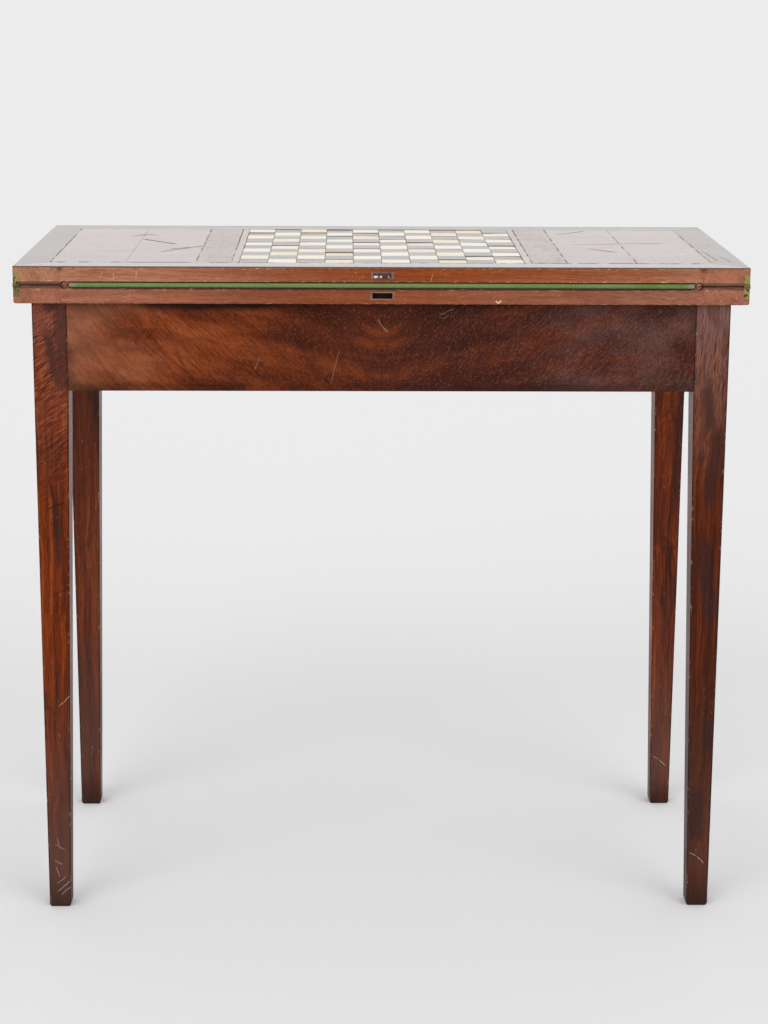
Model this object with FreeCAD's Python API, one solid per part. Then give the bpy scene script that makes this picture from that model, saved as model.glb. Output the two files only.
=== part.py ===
import FreeCAD, Part
import math
import os

# Fold-over games table with a swivelling top, in millimetres.
# The origin is on the floor under the middle of the closed top, and -Y is the hinge edge.

# Overall sizes of the closed table
table_width = 800.0
table_depth = 384.0
table_height = 748.0
leaf_thickness = 20.2
parting_gap = 0.6
swivel_gap = 0.3

# Leaves: a long-grain panel between two end clamps, with a framed recess on the inner face
clamp_width = 51.0
clamp_tongue_length = 8.0
clamp_tongue_thickness = 6.0
clamp_tongue_setback = 20.0
clamp_groove_clearance = 0.3
border_thickness = 3.6
leaf_corner_radius = 3.0
hinge_corner_radius = 0.8
upper_arris_radius = 1.2
lower_arris_radius = 2.5
inner_arris_radius = 0.5

# Half-round plugs at the hinge end of the side borders
plug_radius = 3.5
plug_length = 14.0
plug_inset = 55.4
plug_wall = 1.1
plug_clearance = 0.1

# Baize lining and its fold along the hinge edge
baize_thickness = 1.2
baize_edge_clearance = 0.4
fold_setback = 0.5
fold_back = 0.6
fold_clearance = 0.3

# Inlay on the upper leaf
inlay_thickness = 1.6
squares_per_side = 10
square_size = 31.4
crossband_width = 37.0
edge_strip_width = 8.0
board_band_width = 39.0
field_inner_width = 77.0
inlay_joint = 0.2

# Hinges let into the ends of the leaves
hinge_lug_width = 6.7
hinge_lug_depth = 4.0
hinge_flange_thickness = 2.6
hinge_flange_length = 52.0
hinge_height = 12.5
hinge_end_radius = 3.0
hinge_axis_proud = 0.25
hinge_ear_radius = 2.6
hinge_ear_width = 1.9
hinge_ear_gap = 0.15
hinge_running_clearance = 0.35
hinge_pin_radius = 1.2
hinge_pin_press_clearance = 0.02
hinge_pin_clearance = 0.05
hinge_screw_shares = (0.40, 0.82)

# Wood screws
screw_head_radius = 2.7
screw_head_height = 1.6
screw_shank_radius = 1.4
screw_length = 15.0
screw_slot_width = 0.7
screw_slot_depth = 0.7
screw_clearance = 0.1

# Catch that keeps the open leaves level: a steel tongue in the upper leaf and a slot in the lower
catch_offset = 11.0
tongue_width = 19.6
tongue_height = 4.7
tongue_reach = 4.0
tongue_root = 16.0
tongue_nose_radius = 1.5
tongue_plate_margin = 2.5
catch_plate_thickness = 1.5
slot_side_clearance = 1.1
slot_height_clearance = 0.75
slot_plate_margin = 2.2
slot_pocket_depth = 9.0

# Fixed frame
overhang_short_edge = 17.6
overhang_long_edge = 13.1
leg_width = 38.0
foot_width = 24.5
leg_arris_radius = 1.2
toe_height = 3.0
toe_inset = 1.6
apron_height = 98.0
apron_thickness = 20.0
apron_veneer_thickness = 1.2
apron_veneer_joint = 0.2
lipping_height = 6.3
lipping_arris_radius = 1.0
tenon_length = 20.0
tenon_thickness = 8.0
tenon_shoulder = 14.0
mortise_clearance = 0.15

# Storage well
well_bottom_thickness = 6.0
well_groove_depth = 6.0
well_groove_lift = 6.0
well_clearance = 0.3

# Swivel of the top
pivot_board_width = 170.0
pivot_board_thickness = 18.0
pivot_housing_depth = 10.0
pivot_housing_clearance = 0.2
pivot_plate_length = 84.0
pivot_plate_width = 56.0
pivot_plate_thickness = 4.0
pivot_plate_screw_inset = 9.0
pivot_plate_screw_length = 11.0
pivot_stud_radius = 6.0
pivot_clearance = 0.06
pivot_washer_radius = 16.0
pivot_washer_thickness = 2.0
pivot_nut_flats = 19.0
pivot_nut_height = 10.0
pivot_stud_tail = 3.0
stop_radius = 55.0
stop_peg_radius = 5.0
stop_peg_socket = 10.0
stop_peg_short = 2.0
stop_clearance = 0.3

# Construction values
overrun = 5.0
match_tolerance = 0.01

# Places worked out from the sizes above
half_width = table_width / 2
half_depth = table_depth / 2
frame_top = table_height - 2 * leaf_thickness - parting_gap - swivel_gap
lower_outer = frame_top + swivel_gap
lower_inner = lower_outer + leaf_thickness
upper_inner = lower_inner + parting_gap
upper_outer = table_height
parting_plane = (lower_inner + upper_inner) / 2
lower_floor = lower_inner - border_thickness
upper_floor = upper_inner + border_thickness
inlay_floor = upper_outer - inlay_thickness
border_width = plug_inset + plug_radius + plug_wall
board_half = square_size * squares_per_side / 2
strip_edge = board_half + edge_strip_width
band_edge = strip_edge + board_band_width
seam_edge = band_edge + field_inner_width
field_edge = half_width - crossband_width
hinge_axis_y = -half_depth - hinge_axis_proud
frame_half_x = half_width - overhang_short_edge
frame_half_y = half_depth - overhang_long_edge
apron_bottom = frame_top - apron_height
core_bottom = apron_bottom + lipping_height
apron_depth = apron_veneer_thickness + apron_thickness
well_floor = core_bottom + well_groove_lift
pivot_x = -table_depth / 4
pivot_y = -table_depth / 4
pivot_board_bottom = frame_top - pivot_board_thickness

LEFT, RIGHT = -1, 1
LOWER, UPPER = -1, 1
SIDE_NAMES = {LEFT: "left", RIGHT: "right"}
UP = FreeCAD.Vector(0, 0, 1)
ALONG_X = FreeCAD.Vector(1, 0, 0)
ALONG_Y = FreeCAD.Vector(0, 1, 0)
ORIGIN = FreeCAD.Vector(0, 0, 0)

# Aprons in order round the frame, each a quarter turn on from the one before
APRON_NAMES = ("front", "right", "rear", "left")
LONG_APRONS = ("front", "rear")
QUARTER_TURN = 90


def slab(x_pair, y_pair, z_pair):
    """Box between two values along each axis, in any order."""
    low = [min(pair) for pair in (x_pair, y_pair, z_pair)]
    size = [abs(pair[1] - pair[0]) for pair in (x_pair, y_pair, z_pair)]
    return Part.makeBox(*size, FreeCAD.Vector(*low))


def prism(points, z_pair):
    """Upright prism on a plan outline."""
    corners = [FreeCAD.Vector(x, y, z_pair[0]) for x, y in points]
    face = Part.Face(Part.makePolygon(corners + corners[:1]))
    return face.extrude(UP * (z_pair[1] - z_pair[0]))


def rod_x(radius, x_pair, y, z):
    """Round bar along X."""
    start = FreeCAD.Vector(min(x_pair), y, z)
    return Part.makeCylinder(radius, abs(x_pair[1] - x_pair[0]), start, ALONG_X)


def edges_where(shape, test):
    """Straight edges whose two ends both pass a test."""
    return [e for e in shape.Edges if len(e.Vertexes) == 2 and all(test(v.Point) for v in e.Vertexes)]


def near(value, target):
    return abs(value - target) < match_tolerance


def fused(shapes):
    """One clean solid from shapes that share faces."""
    return shapes[0].multiFuse(shapes[1:]).removeSplitter()


def mirrored_pair(make):
    """Left and right copies made by the same function, as a group of solids."""
    return Part.makeCompound([make(side) for side in (LEFT, RIGHT)])


# Leaf outlines

def leaf_outline(leaf):
    """Whole leaf with its worn corners, which every piece of the leaf is cut to."""
    inner, outer = (upper_inner, upper_outer) if leaf == UPPER else (lower_inner, lower_outer)
    outer_arris_radius = upper_arris_radius if leaf == UPPER else lower_arris_radius
    body = slab((-half_width, half_width), (-half_depth, half_depth), (inner, outer))
    upright = [e for e in body.Edges if near(e.Vertexes[0].X, e.Vertexes[1].X) and near(
        e.Vertexes[0].Y, e.Vertexes[1].Y)]
    body = body.makeFillet(leaf_corner_radius, [e for e in upright if e.Vertexes[0].Y > 0])
    upright = edges_where(body, lambda p: near(p.y, -half_depth) and near(abs(p.x), half_width))
    upright = [e for e in upright if near(e.Vertexes[0].X, e.Vertexes[1].X)]
    body = body.makeFillet(hinge_corner_radius, upright)
    body = body.makeFillet(outer_arris_radius, edges_where(body, lambda p: near(p.z, outer)))
    return body.makeFillet(inner_arris_radius, edges_where(body, lambda p: near(p.z, inner)))


def core_heights(leaf):
    return (upper_floor, inlay_floor) if leaf == UPPER else (lower_outer, lower_floor)


def clamp_tongues(leaf, clearance):
    """Tongues on both ends of a panel, or with a clearance the space that they need."""
    reach = half_width - clamp_width + clamp_tongue_length + clearance
    run = half_depth - clamp_tongue_setback + clearance
    middle = sum(core_heights(leaf)) / 2
    rise = clamp_tongue_thickness / 2 + clearance
    return slab((-reach, reach), (-run, run), (middle - rise, middle + rise))


def leaf_panel(leaf, outline):
    reach = half_width - clamp_width
    core = slab((-reach, reach), (-half_depth, half_depth), core_heights(leaf))
    return fused([core, clamp_tongues(leaf, 0)]).common(outline)


def leaf_clamp(leaf, side, outline):
    ends = (side * (half_width - clamp_width), side * half_width)
    core = slab(ends, (-half_depth, half_depth), core_heights(leaf))
    cuts = [clamp_tongues(leaf, clamp_groove_clearance), hinge_blank(leaf, side, outline)]
    cuts += [screw_hole(leaf, side, share) for share in hinge_screw_shares]
    return core.cut(cuts).common(outline)


# Inner borders and plugs

def border_heights(leaf):
    return (upper_inner, upper_floor) if leaf == UPPER else (lower_floor, lower_inner)


def plug_bar(side, radius):
    start = FreeCAD.Vector(side * (half_width - plug_inset), -half_depth, parting_plane)
    return Part.makeCylinder(radius, plug_length, start, ALONG_Y)


def side_border(leaf, side, outline):
    ends = (side * (half_width - border_width), side * half_width)
    strip = slab(ends, (-half_depth, half_depth), border_heights(leaf))
    cuts = [hinge_blank(leaf, side, outline), plug_bar(side, plug_radius + plug_clearance)]
    cuts += [screw_hole(leaf, side, share) for share in hinge_screw_shares]
    return strip.cut(cuts).common(outline)


def rear_border(leaf, outline):
    reach = half_width - border_width
    strip = slab((-reach, reach), (half_depth - border_width, half_depth), border_heights(leaf))
    return strip.common(outline)


def border_plugs(leaf):
    space = slab((-half_width, half_width), (-half_depth, half_depth), border_heights(leaf))
    return mirrored_pair(lambda side: plug_bar(side, plug_radius).common(space))


# Baize

def fold_face():
    """Section of the cloth's fold, round towards the hinge edge."""
    radius = (upper_floor - lower_floor) / 2 - fold_clearance
    front = -half_depth + fold_setback
    middle = front + radius
    back = middle + fold_back
    slant = radius * math.sqrt(0.5)

    def at(y, z):
        return FreeCAD.Vector(-(half_width - border_width - baize_edge_clearance), y, parting_plane + z)

    lower = Part.Arc(at(middle, -radius), at(middle - slant, -slant), at(front, 0)).toShape()
    upper = Part.Arc(at(front, 0), at(middle - slant, slant), at(middle, radius)).toShape()
    rest = Part.makePolygon([at(middle, radius), at(back, radius), at(back, -radius), at(middle, -radius)])
    return Part.Face(Part.Wire([lower, upper] + rest.Edges)), back


def baize_fold():
    face, _ = fold_face()
    return face.extrude(ALONG_X * (table_width - 2 * border_width - 2 * baize_edge_clearance))


def baize_lining(leaf):
    reach = half_width - border_width - baize_edge_clearance
    _, fold_end = fold_face()
    run = (fold_end + fold_back, half_depth - border_width - baize_edge_clearance)
    floor = upper_floor if leaf == UPPER else lower_floor
    return slab((-reach, reach), run, (floor, floor - leaf * baize_thickness))


# Inlay

def crossband(outline, corners):
    return prism(corners, (inlay_floor, upper_outer)).common(outline)


def crossbands(outline):
    """Four mitred bands round the edge of the top."""
    gap = inlay_joint / 2
    long_band = [(-half_width + gap, -half_depth), (half_width - gap, -half_depth),
                 (field_edge - gap, -board_half - gap), (-field_edge + gap, -board_half - gap)]
    short_band = [(-half_width, -half_depth + gap), (-field_edge - gap, -board_half + gap),
                  (-field_edge - gap, board_half - gap), (-half_width, half_depth - gap)]
    return {
        "crossband_front": crossband(outline, long_band),
        "crossband_rear": crossband(outline, [(x, -y) for x, y in long_band]),
        "crossband_left": crossband(outline, short_band),
        "crossband_right": crossband(outline, [(-x, y) for x, y in short_band]),
    }


def top_sheet(side, inner_edge, outer_edge):
    """Veneer sheet across the depth between the long crossbands."""
    gap = inlay_joint / 2
    run = board_half - gap
    edges = (side * (inner_edge + gap), side * (outer_edge - gap))
    return slab(edges, (-run, run), (inlay_floor, upper_outer))


def board_squares(parity):
    """All squares of one colour."""
    gap = inlay_joint / 2
    squares = []
    for row in range(squares_per_side):
        for column in range(squares_per_side):
            if (row + column) % 2 == parity:
                x = -board_half + column * square_size
                y = -board_half + row * square_size
                squares.append(slab((x + gap, x + square_size - gap), (y + gap, y + square_size - gap),
                                    (inlay_floor, upper_outer)))
    return Part.makeCompound(squares)


# Hinges

def leaf_face(leaf):
    return upper_inner if leaf == UPPER else lower_inner


def hinge_blank(leaf, side, outline):
    """Flange along the leaf's end and lug across its corner, without eyes or holes."""
    heights = (leaf_face(leaf), leaf_face(leaf) + leaf * hinge_height)
    end = side * half_width
    far_end = -half_depth + hinge_flange_length
    flange = slab((end - side * hinge_flange_thickness, end), (-half_depth, far_end), heights)
    far_edge = edges_where(flange, lambda p: near(p.y, far_end) and near(p.z, heights[1]))
    flange = flange.makeFillet(hinge_end_radius, far_edge)
    lug = slab((end - side * hinge_lug_width, end), (-half_depth, -half_depth + hinge_lug_depth), heights)
    return fused([flange, lug]).common(outline)


def eye_spans(leaf, side):
    """Spans along X of a hinge's eyes: two outer ears below, one eye between them above."""
    end = side * half_width
    if leaf == LOWER:
        return [(end - side * hinge_lug_width, end - side * (hinge_lug_width - hinge_ear_width)),
                (end - side * hinge_ear_width, end)]
    inset = hinge_ear_width + hinge_ear_gap
    return [(end - side * (hinge_lug_width - inset), end - side * inset)]


def hinge_half(leaf, side, outline):
    eyes = [rod_x(hinge_ear_radius, span, hinge_axis_y, parting_plane) for span in eye_spans(leaf, side)]
    relief_radius = hinge_ear_radius + hinge_running_clearance
    relief = []
    for span in eye_spans(-leaf, side):
        ends = (min(span) - hinge_ear_gap, max(span) + hinge_ear_gap)
        relief.append(rod_x(relief_radius, ends, hinge_axis_y, parting_plane))
    clearance = hinge_pin_clearance if leaf == UPPER else hinge_pin_press_clearance
    ends = (side * (half_width - hinge_lug_width - overrun), side * (half_width + overrun))
    bore = rod_x(hinge_pin_radius + clearance, ends, hinge_axis_y, parting_plane)
    holes = [screw_hole(leaf, side, share) for share in hinge_screw_shares]
    half = hinge_blank(leaf, side, outline).cut(relief)
    return fused([half] + eyes).cut([bore] + holes)


def hinge_pin(side):
    ends = (side * (half_width - hinge_lug_width), side * half_width)
    return rod_x(hinge_pin_radius, ends, hinge_axis_y, parting_plane)


# Screws

def screw(length, clearance=0):
    """Countersunk slotted screw with its head's face at the origin and its tip down, or its hole."""
    head = Part.makeCone(screw_head_radius + clearance, screw_shank_radius + clearance,
                         screw_head_height, ORIGIN, -UP)
    shank = Part.makeCylinder(screw_shank_radius + clearance, length + clearance, ORIGIN, -UP)
    body = head.fuse(shank)
    if clearance:
        return body
    half_slot = screw_slot_width / 2
    slot = slab((-screw_head_radius, screw_head_radius), (-half_slot, half_slot), (-screw_slot_depth, 0))
    return body.cut(slot).removeSplitter()


def to_hinge(shape, leaf, side, share):
    """Moves a screw or hole from the origin into a hinge flange."""
    turned = shape.copy()
    turned.rotate(ORIGIN, ALONG_Y, 90 * side)
    turned.translate(FreeCAD.Vector(side * half_width, -half_depth + share * hinge_flange_length,
                                    leaf_face(leaf) + leaf * hinge_height / 2))
    return turned


def screw_hole(leaf, side, share):
    return to_hinge(screw(screw_length, screw_clearance), leaf, side, share)


def hinge_screws(leaf):
    one = screw(screw_length)
    return Part.makeCompound([to_hinge(one, leaf, side, share)
                              for side in (LEFT, RIGHT) for share in hinge_screw_shares])


# Catch

def catch_box(leaf, width, height, y_pair):
    """Box centred on the catch, at its distance from the parting plane."""
    middle = parting_plane + leaf * catch_offset
    return slab((-width / 2, width / 2), y_pair, (middle - height / 2, middle + height / 2))


def tongue_plate_space():
    return catch_box(UPPER, tongue_width + 2 * tongue_plate_margin,
                     tongue_height + tongue_plate_margin, (-half_depth, -half_depth + catch_plate_thickness))


def tongue_bar():
    run = (-half_depth - tongue_reach, -half_depth + tongue_root)
    return catch_box(UPPER, tongue_width, tongue_height, run)


def catch_tongue():
    bar = tongue_bar()
    nose = edges_where(bar, lambda p: near(p.y, -half_depth - tongue_reach))
    return bar.makeFillet(tongue_nose_radius, nose)


def slot_size():
    return tongue_width + 2 * slot_side_clearance, tongue_height + 2 * slot_height_clearance


def slot_opening(depth):
    return catch_box(LOWER, *slot_size(), (-half_depth, -half_depth + depth))


def slot_plate_space():
    width, height = slot_size()
    return catch_box(LOWER, width + 2 * slot_plate_margin, height + slot_plate_margin,
                     (-half_depth, -half_depth + catch_plate_thickness))


# Swivel

def pivot_plate_space():
    return slab((pivot_x - pivot_plate_length / 2, pivot_x + pivot_plate_length / 2),
                (pivot_y - pivot_plate_width / 2, pivot_y + pivot_plate_width / 2),
                (lower_outer, lower_outer + pivot_plate_thickness))


def pivot_plate_screws(length, clearance=0):
    """Screws up through the corners of the pivot plate, or their holes."""
    one = screw(length, clearance)
    one.rotate(ORIGIN, ALONG_X, 180)
    copies = []
    for across in (LEFT, RIGHT):
        for along in (LEFT, RIGHT):
            x = pivot_x + across * (pivot_plate_length / 2 - pivot_plate_screw_inset)
            y = pivot_y + along * (pivot_plate_width / 2 - pivot_plate_screw_inset)
            copies.append(one.translated(FreeCAD.Vector(x, y, lower_outer)))
    return Part.makeCompound(copies)


def pivot_bar(radius, z_pair):
    return Part.makeCylinder(radius, z_pair[1] - z_pair[0], FreeCAD.Vector(pivot_x, pivot_y, z_pair[0]))


def pivot_stud():
    tail = pivot_board_bottom - pivot_washer_thickness - pivot_nut_height - pivot_stud_tail
    return pivot_bar(pivot_stud_radius, (tail, lower_outer + pivot_plate_thickness))


def pivot_washer():
    heights = (pivot_board_bottom - pivot_washer_thickness, pivot_board_bottom)
    bore = pivot_bar(pivot_stud_radius + pivot_clearance, heights)
    return pivot_bar(pivot_washer_radius, heights).cut(bore)


def pivot_nut():
    top = pivot_board_bottom - pivot_washer_thickness
    heights = (top - pivot_nut_height, top)
    corner = pivot_nut_flats / math.sqrt(3)
    turns = [math.radians(60 * k) for k in range(6)]
    outline = [(pivot_x + corner * math.cos(t), pivot_y + corner * math.sin(t)) for t in turns]
    return prism(outline, heights).cut(pivot_bar(pivot_stud_radius + pivot_clearance, heights))


def stop_peg(z_pair, radius):
    return Part.makeCylinder(radius, z_pair[1] - z_pair[0],
                             FreeCAD.Vector(pivot_x + stop_radius, pivot_y, z_pair[0]))


def stop_slot():
    """Quarter-round slot that the stop peg travels in."""
    half_slot = stop_peg_radius + stop_clearance
    heights = (pivot_board_bottom - overrun, frame_top + overrun)
    centre = FreeCAD.Vector(pivot_x, pivot_y, heights[0])
    rise = heights[1] - heights[0]
    ring = Part.makeCylinder(stop_radius + half_slot, rise, centre, UP, 90)
    ring = ring.cut(Part.makeCylinder(stop_radius - half_slot, rise, centre))
    start = stop_peg(heights, half_slot)
    finish = start.copy()
    finish.rotate(centre, UP, 90)
    return fused([ring, start, finish])


def pivot_board(clearance):
    """Cross board housed in the long aprons, or with a clearance its housing."""
    reach = frame_half_y - apron_depth + pivot_housing_depth
    sides = (pivot_x - pivot_board_width / 2 - clearance, pivot_x + pivot_board_width / 2 + clearance)
    return slab(sides, (-reach, reach), (pivot_board_bottom, frame_top))


# Frame

def turned(shape, name):
    """Turns a shape made for the front apron to another side of the frame."""
    copy = shape.copy()
    copy.rotate(ORIGIN, UP, QUARTER_TURN * APRON_NAMES.index(name))
    return copy


def apron_face(name):
    """Distance of an apron's face from the middle of the frame."""
    return frame_half_y if name in LONG_APRONS else frame_half_x


def apron_span(name):
    """Half the length of an apron between its legs."""
    return (frame_half_x if name in LONG_APRONS else frame_half_y) - leg_width


def apron_box(name, depths, heights, reach):
    """Box along an apron, with its depths measured inwards from the face."""
    face = -apron_face(name)
    return turned(slab((-reach, reach), (face + depths[0], face + depths[1]), heights), name)


def apron_tenons(name, clearance):
    """Bar that makes both tenons of an apron, or with a clearance their mortises."""
    middle = apron_veneer_thickness + apron_thickness / 2
    half_tenon = tenon_thickness / 2 + clearance
    return apron_box(name, (middle - half_tenon, middle + half_tenon),
                     (core_bottom + tenon_shoulder - clearance, frame_top - tenon_shoulder + clearance),
                     apron_span(name) + tenon_length + clearance)


def well_panel(clearance):
    """Bottom of the well, notched round the legs, or with a clearance the grooves for it."""
    reach_x = frame_half_x - apron_depth + well_groove_depth + clearance
    reach_y = frame_half_y - apron_depth + well_groove_depth + clearance
    heights = (well_floor - clearance, well_floor + well_bottom_thickness + clearance)
    panel = slab((-reach_x, reach_x), (-reach_y, reach_y), heights)
    for x_side in (LEFT, RIGHT):
        for y_side in (LEFT, RIGHT):
            notch_x = x_side * (frame_half_x - leg_width - well_clearance)
            notch_y = y_side * (frame_half_y - leg_width - well_clearance)
            panel = panel.cut(slab((notch_x, x_side * half_width), (notch_y, y_side * half_depth), heights))
    return panel


def apron(name):
    depths = (apron_veneer_thickness, apron_depth)
    core = apron_box(name, depths, (core_bottom, frame_top), apron_span(name))
    cuts = [well_panel(well_clearance)]
    if name in LONG_APRONS:
        cuts.append(pivot_board(pivot_housing_clearance))
    return fused([core, apron_tenons(name, 0)]).cut(cuts)


def apron_veneer(name):
    """Sheet over an apron's face, book-matched in two halves on the long sides."""
    heights = (core_bottom + apron_veneer_joint, frame_top)
    sheet = apron_box(name, (0, apron_veneer_thickness), heights, apron_span(name))
    if name not in LONG_APRONS:
        return sheet
    seam = apron_veneer_joint / 2
    halves = [slab((side * seam, side * half_width), (-half_depth, half_depth), heights)
              for side in (LEFT, RIGHT)]
    return Part.makeCompound([sheet.common(half) for half in halves])


def apron_lipping(name):
    span = apron_span(name)
    face = -apron_face(name)
    strip = slab((-span, span), (face, face + apron_depth), (apron_bottom, core_bottom))
    arris = edges_where(strip, lambda p: near(p.y, face) and near(p.z, apron_bottom))
    return turned(strip.makeFillet(lipping_arris_radius, arris), name)


def leg_section(x_side, y_side, width, inset, z):
    """Square section with softened arrises, kept to the leg's outer corner."""
    x_ends = sorted((x_side * (frame_half_x - inset), x_side * (frame_half_x - width + inset)))
    y_ends = sorted((y_side * (frame_half_y - inset), y_side * (frame_half_y - width + inset)))
    bend = leg_arris_radius * (1 - math.sqrt(0.5))
    edges = []
    corners = [(x_ends[0], y_ends[0], 1, 1), (x_ends[1], y_ends[0], -1, 1),
               (x_ends[1], y_ends[1], -1, -1), (x_ends[0], y_ends[1], 1, -1)]
    arcs = []
    for number, (x, y, to_x, to_y) in enumerate(corners):
        on_x = FreeCAD.Vector(x + to_x * leg_arris_radius, y, z)
        on_y = FreeCAD.Vector(x, y + to_y * leg_arris_radius, z)
        middle = FreeCAD.Vector(x + to_x * bend, y + to_y * bend, z)
        ends = (on_y, on_x) if number % 2 == 0 else (on_x, on_y)
        arcs.append((ends[0], middle, ends[1]))
    for number, arc in enumerate(arcs):
        edges.append(Part.Arc(*arc).toShape())
        edges.append(Part.makeLine(arc[2], arcs[(number + 1) % len(arcs)][0]))
    return Part.Wire(edges)


def leg(x_side, y_side):
    """Leg square beside the aprons and tapered below them on its two inner faces."""
    sections = [
        leg_section(x_side, y_side, foot_width, toe_inset, 0),
        leg_section(x_side, y_side, foot_width, 0, toe_height),
        leg_section(x_side, y_side, leg_width, 0, apron_bottom),
        leg_section(x_side, y_side, leg_width, 0, frame_top),
    ]
    mortises = [apron_tenons(name, mortise_clearance) for name in APRON_NAMES]
    return Part.makeLoft(sections, True, True).cut(mortises)


# Assembly

def leaf_pieces(leaf, name):
    outline = leaf_outline(leaf)
    pieces = {f"{name}_panel": leaf_panel(leaf, outline)}
    for side in (LEFT, RIGHT):
        pieces[f"{name}_clamp_{SIDE_NAMES[side]}"] = leaf_clamp(leaf, side, outline)
        pieces[f"{name}_border_{SIDE_NAMES[side]}"] = side_border(leaf, side, outline)
        pieces[f"{name}_hinge_{SIDE_NAMES[side]}"] = hinge_half(leaf, side, outline)
    pieces[f"{name}_border_rear"] = rear_border(leaf, outline)
    pieces[f"{name}_border_plugs"] = border_plugs(leaf)
    pieces[f"{name}_baize"] = baize_lining(leaf)
    pieces[f"{name}_hinge_screws"] = hinge_screws(leaf)
    return pieces


def lower_leaf():
    pieces = leaf_pieces(LOWER, "lower")
    socket = (lower_outer, lower_outer + stop_peg_socket)
    cuts = [slot_opening(slot_pocket_depth), slot_plate_space(), pivot_plate_space(),
            pivot_plate_screws(pivot_plate_screw_length, screw_clearance), stop_peg(socket, stop_peg_radius)]
    pieces["lower_panel"] = pieces["lower_panel"].cut(cuts)
    pieces["baize_fold"] = baize_fold()
    pieces["hinge_pins"] = mirrored_pair(hinge_pin)
    pieces["slot_plate"] = slot_plate_space().cut(slot_opening(slot_pocket_depth))
    stud_hole = pivot_bar(pivot_stud_radius + pivot_clearance, (frame_top, lower_floor))
    plate_holes = [stud_hole, pivot_plate_screws(pivot_plate_screw_length, screw_clearance)]
    pieces["pivot_plate"] = pivot_plate_space().cut(plate_holes)
    pieces["pivot_plate_screws"] = pivot_plate_screws(pivot_plate_screw_length)
    pieces["pivot_stud"] = pivot_stud()
    pieces["pivot_washer"] = pivot_washer()
    pieces["pivot_nut"] = pivot_nut()
    pieces["stop_peg"] = stop_peg((pivot_board_bottom + stop_peg_short, socket[1]), stop_peg_radius)
    return pieces


def upper_leaf():
    pieces = leaf_pieces(UPPER, "upper")
    pieces["upper_panel"] = pieces["upper_panel"].cut([tongue_bar(), tongue_plate_space()])
    pieces["tongue_plate"] = tongue_plate_space().cut(tongue_bar())
    pieces["catch_tongue"] = catch_tongue()
    pieces.update(crossbands(leaf_outline(UPPER)))
    for side in (LEFT, RIGHT):
        pieces[f"field_{SIDE_NAMES[side]}_outer"] = top_sheet(side, seam_edge, field_edge)
        pieces[f"field_{SIDE_NAMES[side]}_inner"] = top_sheet(side, band_edge, seam_edge)
    pieces["board_bands"] = mirrored_pair(lambda side: top_sheet(side, strip_edge, band_edge))
    pieces["board_edge_strips"] = mirrored_pair(lambda side: top_sheet(side, board_half, strip_edge))
    pieces["dark_squares"] = board_squares(0)
    pieces["light_squares"] = board_squares(1)
    return pieces


def frame():
    pieces = {}
    for x_side in (LEFT, RIGHT):
        pieces[f"leg_front_{SIDE_NAMES[x_side]}"] = leg(x_side, LEFT)
        pieces[f"leg_rear_{SIDE_NAMES[x_side]}"] = leg(x_side, RIGHT)
    for name in APRON_NAMES:
        pieces[f"apron_{name}"] = apron(name)
        pieces[f"apron_veneer_{name}"] = apron_veneer(name)
    pieces["apron_lippings"] = Part.makeCompound([apron_lipping(name) for name in APRON_NAMES])
    pieces["well_bottom"] = well_panel(0)
    shaft_heights = (pivot_board_bottom - overrun, frame_top + overrun)
    shaft = pivot_bar(pivot_stud_radius + pivot_clearance, shaft_heights)
    pieces["pivot_board"] = pivot_board(0).cut([shaft, stop_slot()])
    return pieces


def main():
    os.makedirs("parts", exist_ok=True)
    for pieces in (frame(), lower_leaf(), upper_leaf()):
        for name, shape in pieces.items():
            shape.exportStep(f"parts/{name}.step")


main()
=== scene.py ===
"""Dresses a fold-over games table in worn veneers, an inlaid bone board, green baize, brass and steel."""

import math
import random
from collections import namedtuple

import bpy
from bpy.props import FloatProperty, FloatVectorProperty, IntProperty, PointerProperty
from mathutils import Matrix, Vector


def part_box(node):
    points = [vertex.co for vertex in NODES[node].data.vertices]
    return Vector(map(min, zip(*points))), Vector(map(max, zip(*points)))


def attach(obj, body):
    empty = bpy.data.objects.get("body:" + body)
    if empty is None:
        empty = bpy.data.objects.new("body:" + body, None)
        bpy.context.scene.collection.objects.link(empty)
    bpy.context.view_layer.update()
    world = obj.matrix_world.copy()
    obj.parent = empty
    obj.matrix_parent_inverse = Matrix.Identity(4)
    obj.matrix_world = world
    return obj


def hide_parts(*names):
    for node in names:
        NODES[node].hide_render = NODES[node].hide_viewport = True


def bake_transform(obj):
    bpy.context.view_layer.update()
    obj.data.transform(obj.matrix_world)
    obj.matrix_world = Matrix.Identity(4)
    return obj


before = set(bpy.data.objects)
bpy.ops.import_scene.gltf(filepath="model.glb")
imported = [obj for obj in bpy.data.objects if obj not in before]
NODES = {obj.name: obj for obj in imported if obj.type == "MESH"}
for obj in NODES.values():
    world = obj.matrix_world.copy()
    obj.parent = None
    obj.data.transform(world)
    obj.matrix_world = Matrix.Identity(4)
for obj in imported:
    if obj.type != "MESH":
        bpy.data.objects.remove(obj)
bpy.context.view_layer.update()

bl_info = {
    "name": "Fold-over games table",
    "version": (1, 0, 0),
    "blender": (4, 5, 0),
    "location": "3D View > Sidebar > Games table",
    "description": "Finishes the packed games table and sets it on a plain stage",
    "category": "Object",
}

MM = 0.001

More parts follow.
